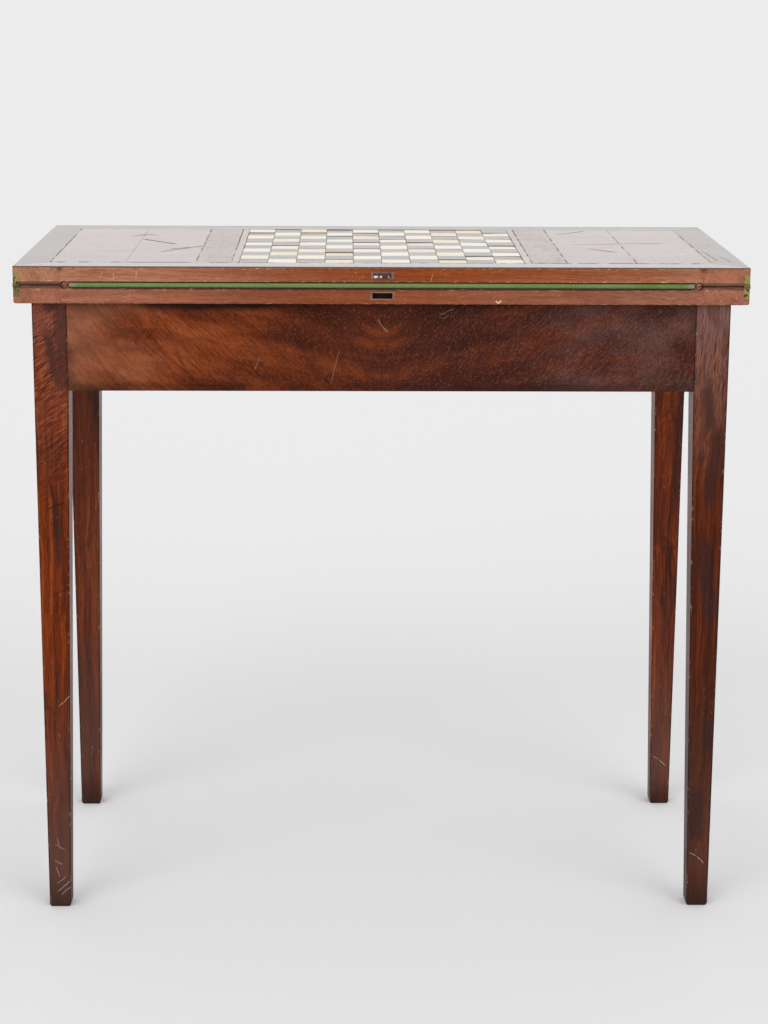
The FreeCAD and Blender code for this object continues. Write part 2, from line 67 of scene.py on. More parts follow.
# Places read from the frame, in metres
LOW, HIGH = 0, 1
HALF_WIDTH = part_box("crossband_right")[HIGH].x
HALF_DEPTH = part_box("crossband_rear")[HIGH].y
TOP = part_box("crossband_front")[HIGH].z
INLAY_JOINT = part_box("crossband_right")[LOW].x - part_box("field_right_outer")[HIGH].x
BOARD_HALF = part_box("dark_squares")[HIGH].x + INLAY_JOINT / 2
STRIP_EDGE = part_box("board_edge_strips")[HIGH].x + INLAY_JOINT / 2
BAND_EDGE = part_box("board_bands")[HIGH].x + INLAY_JOINT / 2
SEAM_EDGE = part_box("field_right_inner")[HIGH].x + INLAY_JOINT / 2
FIELD_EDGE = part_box("field_right_outer")[HIGH].x + INLAY_JOINT / 2
INLAY_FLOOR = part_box("light_squares")[LOW].z
SQUARES_PER_SIDE = 10
SQUARE = 2 * BOARD_HALF / SQUARES_PER_SIDE
CLAMP_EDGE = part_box("lower_clamp_right")[LOW].x
PARTING = (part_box("lower_border_left")[HIGH].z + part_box("upper_border_left")[LOW].z) / 2
LEG_OUTER, SIDE_LEG_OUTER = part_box("leg_rear_right")[HIGH].xy
LEG_INNER, SIDE_LEG_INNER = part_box("leg_rear_right")[LOW].xy
FOOT_WIDTH = 24.5 * MM
FRAME_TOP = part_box("apron_veneer_front")[HIGH].z
APRON_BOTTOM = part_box("apron_lippings")[LOW].z
PLUG_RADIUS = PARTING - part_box("lower_border_plugs")[LOW].z
PLUG_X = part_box("lower_border_plugs")[HIGH].x - PLUG_RADIUS
BAIZE_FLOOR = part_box("lower_baize")[LOW].z
BAIZE_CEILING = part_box("upper_baize")[HIGH].z
BAIZE_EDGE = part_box("baize_fold")[HIGH].x
LEAF_ARRISES = (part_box("lower_panel")[LOW].z, BAIZE_FLOOR, BAIZE_CEILING, INLAY_FLOOR)
TONGUE_MIDDLE = (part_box("catch_tongue")[LOW].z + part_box("catch_tongue")[HIGH].z) / 2
FRONT = -HALF_DEPTH

# Attribute of the baize that holds where each point lies while the leaves are closed
FOLDED_PLACE = "folded_place"

# Turns that lay a pattern's X axis along the grain
ALONG_X = (0.0, 0.0, 0.0)
ALONG_Y = (0.0, 0.0, math.radians(90))
UPRIGHT = (0.0, math.radians(-90), 0.0)

# Directions that marked faces are turned to
FORWARD = (0.0, -1.0, 0.0)
UPWARD = (0.0, 0.0, 1.0)

# Stage: turns of the two lights in degrees, width of the camera's sensor in millimetres and how far it sees
KEY_TURN, FILL_TURN = (63, 0, -30), (63, 0, 36)
SENSOR_WIDTH = 36
SIGHT = 500

# Baize: faces along and across one leaf, steps round the fold and the angle that is shaded smooth
SHEET_COLUMNS, SHEET_ROWS, FOLD_STEPS = 180, 60, 14
SMOOTH_ANGLE = math.radians(40)


def flat_marks(*rows):
    """Marks on the top, from rows of the X and Y of two ends and a width, in millimetres."""
    return [((x * MM, y * MM, 0), (u * MM, v * MM, 0), width * MM) for x, y, u, v, width in rows]


def front_marks(*rows):
    """Marks on faces turned forward, from rows of the X and Z of two ends and a width, in millimetres."""
    return [((x * MM, 0, z * MM), (u * MM, 0, w * MM), width * MM) for x, z, u, w, width in rows]


# Wear: joints of the top with the share of dirt in them, and marks
TOP_JOINTS = ((-FIELD_EDGE, 0.85), (-SEAM_EDGE, 0.15), (-BAND_EDGE, 0.75), (-STRIP_EDGE, 0.85),
    (-BOARD_HALF, 0.50), (BOARD_HALF, 0.50), (STRIP_EDGE, 0.95), (BAND_EDGE, 0.80), (SEAM_EDGE, 0.80),
    (FIELD_EDGE, 0.85))
LEFT_FIELD_CRACKS = flat_marks((-286, 60, -230, -2, 3.6), (-248, -46, -196, -8, 2.8),
    (-256, -72, -212, -22, 2.2), (-300, 80, -266, 102, 2.4), (-292, 104, -262, 88, 1.8))
RIGHT_FIELD_CRACKS = flat_marks((236, -24, 272, -64, 2.6), (204, 7, 354, 30, 1.8), (211, 106, 257, 150, 2))
CROSSBAND_CRACKS = flat_marks((368, -36, 374, -142, 0.8), (380, -90, 388, -150, 0.8))
APRON_SCRATCHES = front_marks((-57, 613.5, -46, 658.1, 0.28), (-4.5, 690.3, 0, 680, 0.55),
    (0, 681, 7.2, 674.5, 0.6), (61.2, 692.7, 79.7, 701.5, 0.35), (66, 689, 74, 694, 0.3),
    (-140, 632, -134, 648, 0.28))
LEAF_CHIPS = front_marks((123.2, 711.6, 126.4, 708.2, 1.1), (126, 708.2, 129.4, 712.2, 1.1))
LEAF_SCRATCHES = front_marks((-291, 733, -291, 741, 0.4), (-267, 734, -266, 744, 0.5),
    (-306, 735, -303, 743, 0.4), (52, 731, 55, 741, 0.4))
LEFT_LEG_STAINS = front_marks((-351, 716, -351, 596, 11), (-370, 706, -350, 700, 10),
    (-368, 680, -352, 604, 8), (-362, 500, -361, 400, 5), (-381, 264, -378, 238, 5))
RIGHT_LEG_STAINS = front_marks((376, 232, 377, 186, 8), (358, 620, 366, 560, 10), (378, 580, 364, 470, 11),
    (358, 450, 378, 330, 13), (366, 150, 366, 75, 12))
# The first rear leg mark, across the top of the rear left leg, is a painted shadow under the apron; the
# others are stains
REAR_LEG_STAINS_AND_SHADE = front_marks((-372, 606, -344, 608, 22), (-348, 610, -350, 500, 7),
    (380, 600, 376, 380, 7))
LEFT_LEG_CRACKS = front_marks((-375.6, 539.8, -350.9, 557.9, 0.7), (-377.7, 471.5, -350.7, 483, 1.1),
    (-369.4, 372.1, -348.8, 386.1, 0.9), (-376.6, 621, -356, 634, 0.8))
RIGHT_LEG_CRACKS = front_marks((352.5, 706, 351.5, 640, 0.5), (356, 690, 355.5, 610, 0.4),
    (359, 470, 376, 452, 0.5), (360, 440, 374, 424, 0.5))
LEFT_LEG_SCRATCHES = front_marks((-376, 58, -366, 52, 0.45), (-374, 50, -369, 36, 0.4),
    (-376, 78, -362, 70, 0.3), (-372, 86, -368, 70, 0.3), (-374, 18, -357, 33, 0.5),
    (-370, 14, -356, 26, 0.4), (-374, 28, -362, 38, 0.3), (-366, 243, -351, 258, 0.45))
RIGHT_LEG_SCRATCHES = front_marks((359, 66, 368, 62, 0.4), (368, 62, 377, 52, 0.5))


def leaning(angle):
    """Turn that lays the grain at an angle above X, in the upright plane of X and Z."""
    return (0.0, -math.radians(angle), 0.0)


def screen_colour(red, green, blue):
    """Linear colour from screen levels up to 255."""
    shares = [level / 255 for level in (red, green, blue)]
    return tuple(s / 12.92 if s <= 0.04045 else ((s + 0.055) / 1.055) ** 2.4 for s in shares)


def colour(name, description, levels):
    return FloatVectorProperty(name=name, description=description, subtype="COLOR", size=3, min=0, max=1,
            default=screen_colour(*levels))


def length(name, description, default):
    return FloatProperty(name=name, description=description, default=default, unit="LENGTH", precision=5)


def angle(name, description, degrees):
    return FloatProperty(name=name, description=description, default=math.radians(degrees), subtype="ANGLE")


def factor(name, description, default):
    return FloatProperty(name=name, description=description, default=default, min=0, max=1,
            subtype="FACTOR")


class WoodSettings(bpy.types.PropertyGroup):
    """Colours of the legs, the aprons and the edges of the leaves"""
    leg_dark: colour("Leg, dark", "Dark veins of the legs", (46, 18, 8))
    leg_mid: colour("Leg, middle", "Main colour of the legs", (100, 40, 12))
    leg_light: colour("Leg, light", "Light streaks of the legs", (142, 68, 26))
    # Bloom is also the colour of painted highlights on the crackled polish of the legs and aprons
    bloom: colour("Bloom", "Greyed polish at the top of the legs and along the apron", (124, 94, 88))
    blackened: colour("Blackened", "Blackened polish beside the joints of the legs", (44, 31, 30))
    scuffed: colour("Scuffed foot", "Worn and dusty wood near the floor", (88, 62, 54))
    apron_dark: colour("Apron, dark", "Dark veins of the apron veneer", (58, 22, 9))
    apron_mid: colour("Apron, middle", "Main colour of the apron veneer", (107, 46, 19))
    apron_light: colour("Apron, light", "Flame figure of the apron veneer", (152, 77, 36))
    apron_red: colour("Apron, red", "Redder end of the apron veneer", (62, 29, 21))
    # Grime is also laid as painted shade: under the leaves on the aprons, in the catch slot, under the
    # baize fold and round the plugs
    grime: colour("Grime", "Dirt in joints and under the leaves", (24, 18, 16))
    scratch: colour("Scratch", "Bare wood in chips and scratches", (214, 176, 138))
    dust: colour("Dust", "Dust in scratches of the polish", (186, 172, 166))
    upper_leaf: colour("Upper leaf", "Middle of the edge of the upper leaf", (132, 64, 29))
    upper_ends: colour("Upper leaf, ends", "Dusty ends of the edge of the upper leaf", (158, 108, 84))
    lower_leaf: colour("Lower leaf", "Middle of the edge of the lower leaf", (122, 63, 38))
    lower_ends: colour("Lower leaf, ends", "Dusty ends of the edge of the lower leaf", (144, 92, 71))
    border: colour("Inner border", "Polished border round the baize", (92, 50, 38))
    carcass: colour("Carcass", "Unpolished wood inside the frame", (150, 112, 76))


class TopSettings(bpy.types.PropertyGroup):
    """Colours of the veneers on the upper face"""
    crossband: colour("Crossband", "Wood of the mitred crossband", (110, 78, 65))
    field: colour("Field", "Wood of the wide fields beside the board", (140, 92, 73))
    band: colour("Board band", "Speckled wood of the bands beside the board", (150, 112, 86))
    strip: colour("Edge strip", "Pale strips along two sides of the board", (158, 122, 104))
    polish: factor("Polish", "Strength of the clear coat over the top", 1.0)
    blur: factor("Polish blur", "How far the old polish blurs what it reflects", 0.22)
    field_blur: factor("Field blur", "Blur of the polish on the wide fields", 0.17)
    front_blur: factor("Front blur", "Blur of the polish on the front crossband, which is rubbed bright",
            0.10)


class BoardSettings(bpy.types.PropertyGroup):
    """Squares of the board"""
    bone: colour("Bone", "Main colour of the bone squares", (242, 231, 208))
    bone_yellow: colour("Bone, yellowed", "Colour of the most yellowed bone squares", (230, 210, 166))
    dark: colour("Dark squares", "Stained wood of the dark squares", (58, 46, 44))
    dark_worn: colour("Dark squares, worn", "Faded dark squares", (124, 100, 92))
    gap: length("Gap", "Gap between neighbouring squares", 0.12 * MM)
    bevel: length("Arris", "Softened arris of each square", 0.30 * MM)
    sink: length("Sink", "How far the lowest squares lie below the sheets round them", 0.9 * MM)
    tilt: angle("Tilt", "Most that a loose square leans", 1.1)
    seed: IntProperty(name="Seed", description="Seed of the leaning squares", default=11, min=0)


class ClothSettings(bpy.types.PropertyGroup):
    """Baize between the leaves"""
    nap: colour("Baize", "Main colour of the baize", (94, 115, 62))
    # The worn colour is also the painted highlight along the crest of the fold
    worn: colour("Baize, worn", "Rubbed crest of the fold", (114, 127, 80))
    shade: colour("Baize, deep", "Colour deep in the nap", (72, 94, 42))
    # The crease colour is painted shade with dirt beside the fold
    crease_dirt_and_shade: colour("Baize, crease", "Dirt in the creases beside the fold", (34, 34, 12))
    frayed: colour("Baize, frayed", "Threadbare ends of the fold", (132, 124, 100))
    thickness: length("Thickness", "Thickness of the baize", 1.2 * MM)


class MetalSettings(bpy.types.PropertyGroup):
    """Hinges, catch and swivel"""
    brass: colour("Brass", "Rubbed brass of the hinges", (158, 142, 84))
    tarnish: colour("Tarnish", "Brown tarnish on the brass", (62, 52, 36))
    steel: colour("Steel", "Worn steel of the catch and the swivel", (138, 121, 109))
    rust: colour("Rust", "Rust and grime on the steel", (84, 56, 42))
    tongue: colour("Tongue", "Dark steel of the catch tongue", (70, 58, 54))
    # Painted highlights: the bright spots stand in for light reflected off the catch tongue
    rubbed: colour("Rubbed steel", "Bright spots on the catch tongue", (236, 234, 226))


class StageSettings(bpy.types.PropertyGroup):
    """Floor, lights and camera"""
    floor: colour("Floor", "Pale floor", (228, 228, 229))
    floor_size: length("Floor size", "Side of the floor", 160.0)
    backdrop: FloatProperty(name="Backdrop", description="Level of the surroundings, seen and reflected",
            default=0.845, min=0, max=1)
    ambient: FloatProperty(name="Ambient light", description="Light from all round", default=0.79, min=0)
    key: FloatProperty(name="Key light", description="Soft light from the front left", default=1.15, min=0)
    fill: FloatProperty(name="Fill light", description="Soft light from the front right", default=0.90,
            min=0)
    softness: angle("Softness", "Width of the lights as seen from the table", 44)
    camera_place: FloatVectorProperty(name="Camera", description="Place of the camera",
            subtype="TRANSLATION", size=3, unit="LENGTH", default=(-0.0398, -2.6870, 1.0778))
    camera_pitch: angle("Pitch", "How far the camera looks down", 13.578)
    camera_yaw: angle("Yaw", "How far the camera looks to the right", 0.982)
    camera_roll: angle("Roll", "How far the camera leans", 0.295)
    camera_lens: FloatProperty(name="Lens", description="Focal length on a 36 mm sensor", default=81.28,
            unit="CAMERA")


class Share:
    """A number that varies over a surface and is reckoned with as a plain number is."""

    def __init__(self, finish, socket):
        self.finish = finish
        self.socket = socket

    def __mul__(self, other):
        return self.finish.math("MULTIPLY", self, other)

    def __add__(self, other):
        return self.finish.math("ADD", self, other)

    def __sub__(self, other):
        return self.finish.math("SUBTRACT", self, other)

    def __rsub__(self, other):
        return self.finish.math("SUBTRACT", other, self)

    def __abs__(self):
        return self.finish.math("ABSOLUTE", self)

    def step(self, low, high):
        """Soft step from 0 at one value to 1 at another, which may be the lower one."""
        node = self.finish.add("ShaderNodeMapRange", {"interpolation_type": "SMOOTHSTEP"}, Value=self)
        node.inputs["From Min"].default_value = low
        node.inputs["From Max"].default_value = high
        return Share(self.finish, node.outputs["Result"])

    def between(self, low, high, soft):
        """Share that is 1 between two values, with soft ends inside them."""
        return self.step(low, low + soft) * self.step(high, high - soft)

    def beside(self, line, width):
        """Share that is 1 on a line and 0 from a width away."""
        return abs(self - line).step(width, 0.2 * width)


class Finish:
    """A procedural material, wired on the object's own coordinates or on places it carries, in metres."""

    def __init__(self, name, attribute=None):
        self.material = bpy.data.materials.new(name)
        self.material.use_nodes = True
        self.shade = None
        self.tree = self.material.node_tree
        self.shader = self.tree.nodes["Principled BSDF"]
        coordinates = self.add("ShaderNodeTexCoord").outputs
        self.place, self.normal = coordinates["Object"], coordinates["Normal"]
        if attribute:
            self.place = self.add("ShaderNodeAttribute", {"attribute_name": attribute}).outputs["Vector"]
        self.x, self.y, self.z = self.parts(self.place)
        self.away = abs(self.x)

    def add(self, kind, settings=None, **sockets):
        node = self.tree.nodes.new(kind)
        for name, value in (settings or {}).items():
            setattr(node, name, value)
        for name, value in sockets.items():
            self.feed(node.inputs[name], value)
        return node

    def feed(self, socket, value):
        """Links a socket to another one, or sets its number or colour."""
        if isinstance(value, Share):
            value = value.socket
        if isinstance(value, bpy.types.NodeSocket):
            self.tree.links.new(value, socket)
        elif socket.type == "RGBA":
            socket.default_value = (*value, 1.0)
        else:
            socket.default_value = value

    def fed(self, kind, values, settings=None):
        """Node whose first sockets are fed in order."""
        node = self.add(kind, settings)
        for socket, value in zip(node.inputs, values):
            self.feed(socket, value)
        return node

    def math(self, operation, *values):
        return Share(self, self.fed("ShaderNodeMath", values, {"operation": operation}).outputs[0])

    def greatest(self, first, *others):
        for other in others:
            first = self.math("MAXIMUM", first, other)
        return first

    def vector(self, operation, *values):
        return self.fed("ShaderNodeVectorMath", values, {"operation": operation}).outputs["Vector"]

    def along(self, vector, direction):
        """Length of a vector along a direction."""
        node = self.fed("ShaderNodeVectorMath", (vector, direction), {"operation": "DOT_PRODUCT"})
        return Share(self, node.outputs["Value"])

    def joined(self, *parts):
        return self.fed("ShaderNodeCombineXYZ", parts).outputs[0]

    def parts(self, vector):
        return [Share(self, part) for part in self.add("ShaderNodeSeparateXYZ", Vector=vector).outputs]

    def noise(self, size, turn=ALONG_X, detail=2.0, place=None, distortion=0.0):
        """Noise whose spots have that size in metres along three turned axes."""
        spots = self.add("ShaderNodeMapping", {"vector_type": "TEXTURE"}, Vector=place or self.place,
                Rotation=turn, Scale=size)
        node = self.add("ShaderNodeTexNoise", Vector=spots.outputs[0], Scale=1.0, Detail=detail,
                Distortion=distortion)
        return Share(self, node.outputs["Fac"])

    def spots(self, size, low, high, *turn_and_detail, **others):
        """Share of noise that steps from 0 at one level to 1 at another."""
        return self.noise(size, *turn_and_detail, **others).step(low, high)

    def warped(self, size, amount, place=None):
        """Coordinates that wander by an amount over spots of a size, so that a grain curves."""
        spots = self.vector("DIVIDE", place or self.place, (size, size, size))
        node = self.add("ShaderNodeTexNoise", Vector=spots, Scale=1.0, Detail=1.0)
        shift = self.vector("SUBTRACT", node.outputs["Color"], (0.5, 0.5, 0.5))
        wander = self.vector("MULTIPLY", shift, (amount, amount, amount))
        return self.vector("ADD", place or self.place, wander)

    def mix(self, share, first, second):
        node = self.add("ShaderNodeMix", {"data_type": "RGBA"})
        for number, value in ((0, share), (6, first), (7, second)):
            self.feed(node.inputs[number], value)
        return node.outputs[2]

    def lay(self, over, share):
        """Lays another colour over the shade, by a share."""
        self.shade = self.mix(share, self.shade, over)

    def ramp(self, value, *stops):
        """Colour that runs through stops of a place and a colour."""
        node = self.add("ShaderNodeValToRGB", Fac=value)
        elements = node.color_ramp.elements
        while len(elements) < len(stops):
            elements.new(1.0)
        for element, (place, shade) in zip(elements, stops):
            element.position = place
            element.color = (*shade, 1.0)
        return node.outputs["Color"]

    def facing(self, direction):
        """Share that is 1 on faces turned to a direction."""
        return self.along(self.normal, direction).step(0.4, 0.8)

    def stroke(self, start, end, width, direction, wobble):
        """Share of a thin, slightly wandering line between two points."""
        run = Vector(end) - Vector(start)
        side = run.cross(Vector(direction)).normalized()
        offset = self.vector("SUBTRACT", self.place, start)
        wander = self.noise((0.006, 0.006, 0.006)) - 0.5
        across = abs(wander * (2 * wobble) + self.along(offset, side))
        middle = abs(self.along(offset, run / run.length_squared) - 0.5)
        return across.step(width, 0.3 * width) * middle.step(0.5, 0.3)

    def strokes(self, lines, direction, wobble=1.2 * MM):
        """Share of some strokes, on faces turned to a direction."""
        shares = [self.stroke(start, end, width, direction, wobble) for start, end, width in lines]
        return self.facing(direction) * self.greatest(0.0, *shares)

    def bumped(self, relief, depth):
        return self.add("ShaderNodeBump", Height=relief, Distance=depth, Strength=1.0).outputs["Normal"]

    def close(self, roughness, **sockets):
        """Feeds the shader, whose sockets are named with low lines for spaces, and returns the material."""
        self.feed(self.shader.inputs["Base Color"], self.shade)
        self.feed(self.shader.inputs["Roughness"], roughness)
        for name, value in sockets.items():
            self.feed(self.shader.inputs[name.replace("_", " ")], value)
        return self.material


def darker(shade, share):
    return tuple(level * share for level in shade)


class Grain:
    """Patterns of wood along one direction: tone, veins, streaks, fibres, pores and thin dark lines."""

    def __init__(self, finish, turn, streak, vein, place=None):
        def along(long, wide, detail, distortion=0.0):
            return finish.noise((long, wide, wide), turn, detail, place, distortion)

        self.broad = along(vein[0], 5 * vein[1], 2.0)
        self.veins = along(*vein, 3.0, 0.4)
        self.streaks = along(*streak, 4.0, 0.2)
        self.fibres = along(0.05, 0.0010, 1.0)
        self.pores = along(0.011, 0.0006, 0.0).step(0.6, 0.72)
        self.lines = (along(1.2 * vein[0], 1.6 * vein[1], 1.0).beside(0.5, 0.03)
                * self.streaks.step(0.4, 0.55))
        self.tone = self.broad * 0.3 + self.veins * 0.28 + self.streaks * 0.3 + self.fibres * 0.12
        self.relief = self.streaks * 0.5 + self.fibres * 0.4 - self.pores * 0.6 - self.lines * 0.4


# Look of one leg: two tints, shares of bloom and haze, turn and share of its hatching, smudges and marks
LegLook = namedtuple("LegLook",
    "upper_tint lower_tint bloom haze hatch hatch_share smudge stains cracks scratches")


def leg_arris(finish):
    """Distance from the nearest upright arris of a leg, on any of its faces."""
    width = finish.add("ShaderNodeMapRange", Value=finish.z)
    width.inputs["From Max"].default_value = APRON_BOTTOM
    width.inputs["To Min"].default_value = FOOT_WIDTH
    width.inputs["To Max"].default_value = LEG_OUTER - LEG_INNER
    leg_width = Share(finish, width.outputs["Result"])
    distances = []
    for away, outer in ((finish.away, LEG_OUTER), (abs(finish.y), SIDE_LEG_OUTER)):
        inset = outer - away
        distances.append(finish.math("MINIMUM", inset, leg_width - inset))
    return finish.greatest(*distances)


def leg_finish(wood, name, look):
    """Polished wood of one leg, hatched and greyed at the top and scuffed at the foot."""
    finish = Finish(name)
    upright = Grain(finish, UPRIGHT, (0.12, 0.0026), (0.45, 0.008), finish.warped(0.09, 0.012))
    ticks = finish.noise((0.016, 0.0012, 0.0012), look.hatch, 3.0, finish.warped(0.03, 0.005))
    ticking = finish.z.step(0.4, 0.68) * look.hatch_share
    tone = (ticks - upright.tone) * ticking + upright.tone
    tinted = [finish.ramp(tone, (0.38, darker(wood.leg_dark, tint)), (0.50, darker(wood.leg_mid, tint)),
            (0.63, darker(wood.leg_light, tint))) for tint in (look.lower_tint, look.upper_tint)]
    finish.shade = finish.mix(finish.z.step(0.25, 0.6), *tinted)
    finish.lay(darker(wood.leg_dark, 0.6), upright.pores * 0.4)
    finish.lay(wood.grime, upright.lines * 0.6)
    blot = finish.noise((0.05, 0.05, 0.09), detail=4.0)
    fading = finish.z.step(0.46, 0.7) * 0.72 + finish.z.step(0.64, 0.7) * 0.28
    bloom = (fading * blot.step(0.26, 0.6) * (upright.streaks * 0.5 + ticks * 0.5).step(0.22, 0.64)
            * look.bloom)
    # Painted highlights: pale lines along the hatching stand in for light caught by the crackled varnish
    glinting_crackle = ticks.step(0.56, 0.7) * ticking * ticking * 0.4
    finish.lay(wood.bloom, finish.greatest(bloom, glinting_crackle, look.haze))
    scuff = finish.z.step(0.34, 0.0) * blot.step(0.25, 0.55) * 0.75
    finish.lay(darker(wood.scuffed, 0.30 + 0.6 * look.lower_tint), scuff)
    dark = finish.spots((0.020, 0.020, 0.055), 0.66 - 0.14 * look.smudge, 0.84 - 0.14 * look.smudge,
            detail=4.0)
    stain = finish.strokes(look.stains, FORWARD, 4 * MM) * ticks.step(0.24, 0.56) * 0.72
    finish.lay(wood.blackened, finish.greatest(dark * (0.3 + 0.4 * look.smudge), stain))
    toe = (blot * 0.04 + finish.z).step(0.075, 0.01)
    arris = leg_arris(finish).step(2.6 * MM, 0.6 * MM)
    chip = arris * finish.spots((0.003, 0.003, 0.007), 0.6, 0.7, detail=3.0)
    grime = finish.greatest(toe * 0.7, finish.strokes(look.cracks, FORWARD, 2.4 * MM) * 0.65,
            arris * blot.step(0.3, 0.6) * 0.6)
    finish.lay(wood.grime, grime)
    patch = finish.spots((0.03, 0.03, 0.05), 0.50, 0.66, detail=2.0)
    nicks = finish.spots((0.0012, 0.0012, 0.010), 0.68, 0.76, leaning(25), 1.0)
    pale = finish.greatest(nicks * patch * 0.22, chip * 0.3, finish.strokes(look.scratches, FORWARD) * 0.6)
    finish.lay(wood.dust, pale)
    relief = upright.relief * 0.5 + ticks * ticking - pale * 0.6
    roughness = blot * 0.25 + scuff * 0.2 + stain * 0.2 + 0.16
    return finish.close(roughness, IOR=1.14, Normal=finish.bumped(relief, 0.5 * MM))


def apron_finish(wood, name, long_side):
    """Flame veneer, book-matched on a long side, orange at one end and redder at the other."""
    finish = Finish(name)
    run, depth = (finish.x, finish.y) if long_side else (finish.y, finish.x)
    leg_edge = LEG_INNER if long_side else SIDE_LEG_INNER
    outward = abs(run)
    place = finish.warped(0.16, 0.035, finish.joined(outward if long_side else run, depth, finish.z))
    grain = Grain(finish, leaning(46), (0.035, 0.0016), (0.16, 0.008), place)
    flame = finish.noise((0.13, 0.024, 0.024), leaning(14), 5.0, place)
    # Painted light and shade: the tone is lifted across the middle of the apron's height and lowered along
    # the top of its middle part, where the leaves shade it; that top is partly dirt too
    glow = finish.z.between(APRON_BOTTOM, FRAME_TOP - 0.01, 0.035)
    deep = finish.z.step(FRAME_TOP - 0.05, FRAME_TOP - 0.01) * outward.step(0.28, 0.16)
    tone = grain.tone * 0.47 + flame * 0.53 + glow * 0.04 - deep * 0.05 - 0.02
    orange = finish.ramp(tone, (0.36, wood.apron_dark), (0.48, wood.apron_mid), (0.62, wood.apron_light))
    red = finish.ramp(tone, (0.36, darker(wood.apron_red, 0.5)), (0.49, wood.apron_red),
            (0.65, wood.apron_mid))
    cloud = finish.noise((0.09, 0.09, 0.05), detail=4.0)
    drift = cloud * 0.3 - 0.15 + run
    finish.shade = finish.mix(drift.step(-0.36, 0.1), orange, red)
    deepest = darker(wood.apron_dark, 0.6)
    finish.lay(deepest, grain.lines * outward.between(0.1, leg_edge, 0.06) * 0.55)
    finish.lay(deepest, grain.pores * 0.4)
    rubbed = finish.spots((0.013, 0.0008, 0.0008), 0.54, 0.72, leaning(46), 2.0, place)
    haze = cloud.step(0.36, 0.66) * drift.step(0.14, 0.36) * 0.32 + rubbed * drift.step(-0.15, 0.25) * 0.22
    finish.lay(wood.bloom, haze)
    # Painted highlights: the light specks stand in for light glinting off the crackled polish; the dark
    # specks are the wood's own
    glinting_crackle = finish.noise((0.0030, 0.0014, 0.0014), leaning(46), 2.0, place)
    lit = finish.mix(drift.step(-0.05, 0.25), wood.apron_light, wood.bloom)
    finish.lay(lit, glinting_crackle.step(0.5, 0.72) * 0.26)
    finish.lay(deepest, glinting_crackle.step(0.48, 0.3) * 0.32)
    pale = finish.ramp(tone, (0.36, darker(wood.upper_ends, 0.45)), (0.60, darker(wood.upper_ends, 1.1)))
    finish.lay(pale, drift.step(-0.2, -0.36) * 0.45)
    foot = finish.z.step(APRON_BOTTOM + 0.016, APRON_BOTTOM) * cloud.step(0.38, 0.62)
    height = cloud * 0.02 + finish.z
    # Painted shade with dirt: a dark band along the top of the long aprons, left of the middle, just under
    # the leaves
    smudge = finish.x.between(-0.29, -0.08, 0.05) * height.step(FRAME_TOP - 0.001, FRAME_TOP + 0.007)
    side = outward.step(leg_edge - 0.012, leg_edge) * cloud.step(0.42, 0.6)
    joint = outward.beside(leg_edge, 1.2 * MM) * finish.x.step(-0.6, 0.4) * grain.streaks.step(0.35, 0.5)
    finish.lay(wood.grime, finish.greatest(foot * 0.6, smudge * 0.9, side * 0.45, joint))
    if long_side:
        finish.lay(wood.grime, run.beside(0.0, 0.6 * MM) * 0.3)
        finish.lay(wood.dust, finish.strokes(APRON_SCRATCHES, FORWARD) * 0.35)
    roughness = cloud * 0.22 + grain.pores * 0.15 + haze * 0.2 + 0.14
    return finish.close(roughness, IOR=1.13, Normal=finish.bumped(grain.relief, 0.25 * MM))


def plug_ring(finish):
    """Share of the dark ring round each plug on the hinge edge, painted shade in the gap round the plug."""
    sideways = finish.away - PLUG_X
    upward = finish.z - PARTING
    square = sideways * sideways + upward * upward
    uneven = finish.noise((0.003, 0.003, 0.003), detail=2.0)
    off_centre = uneven * (1.2 * MM) - 0.8 * MM + finish.math("SQRT", square)
    ring = off_centre.beside(PLUG_RADIUS, 1.4 * MM)
    outer = sideways.step(-PLUG_RADIUS, PLUG_RADIUS) * 0.5 + 0.5
    return ring * outer * uneven.step(0.16, 0.44) * finish.facing(FORWARD)


def parting_stain(finish):
    """Share of the stain that runs along the joint between the leaves, beyond the ends of the baize."""
    streaks = finish.noise((0.020, 0.004, 0.0022), detail=4.0)
    height = streaks * (5.0 * MM) - 2.5 * MM + finish.z
    return (height.beside(PARTING, 5.5 * MM) * finish.away.step(BAIZE_EDGE, BAIZE_EDGE + 8 * MM)
            * finish.facing(FORWARD) * streaks.step(0.26, 0.56) * 0.6)


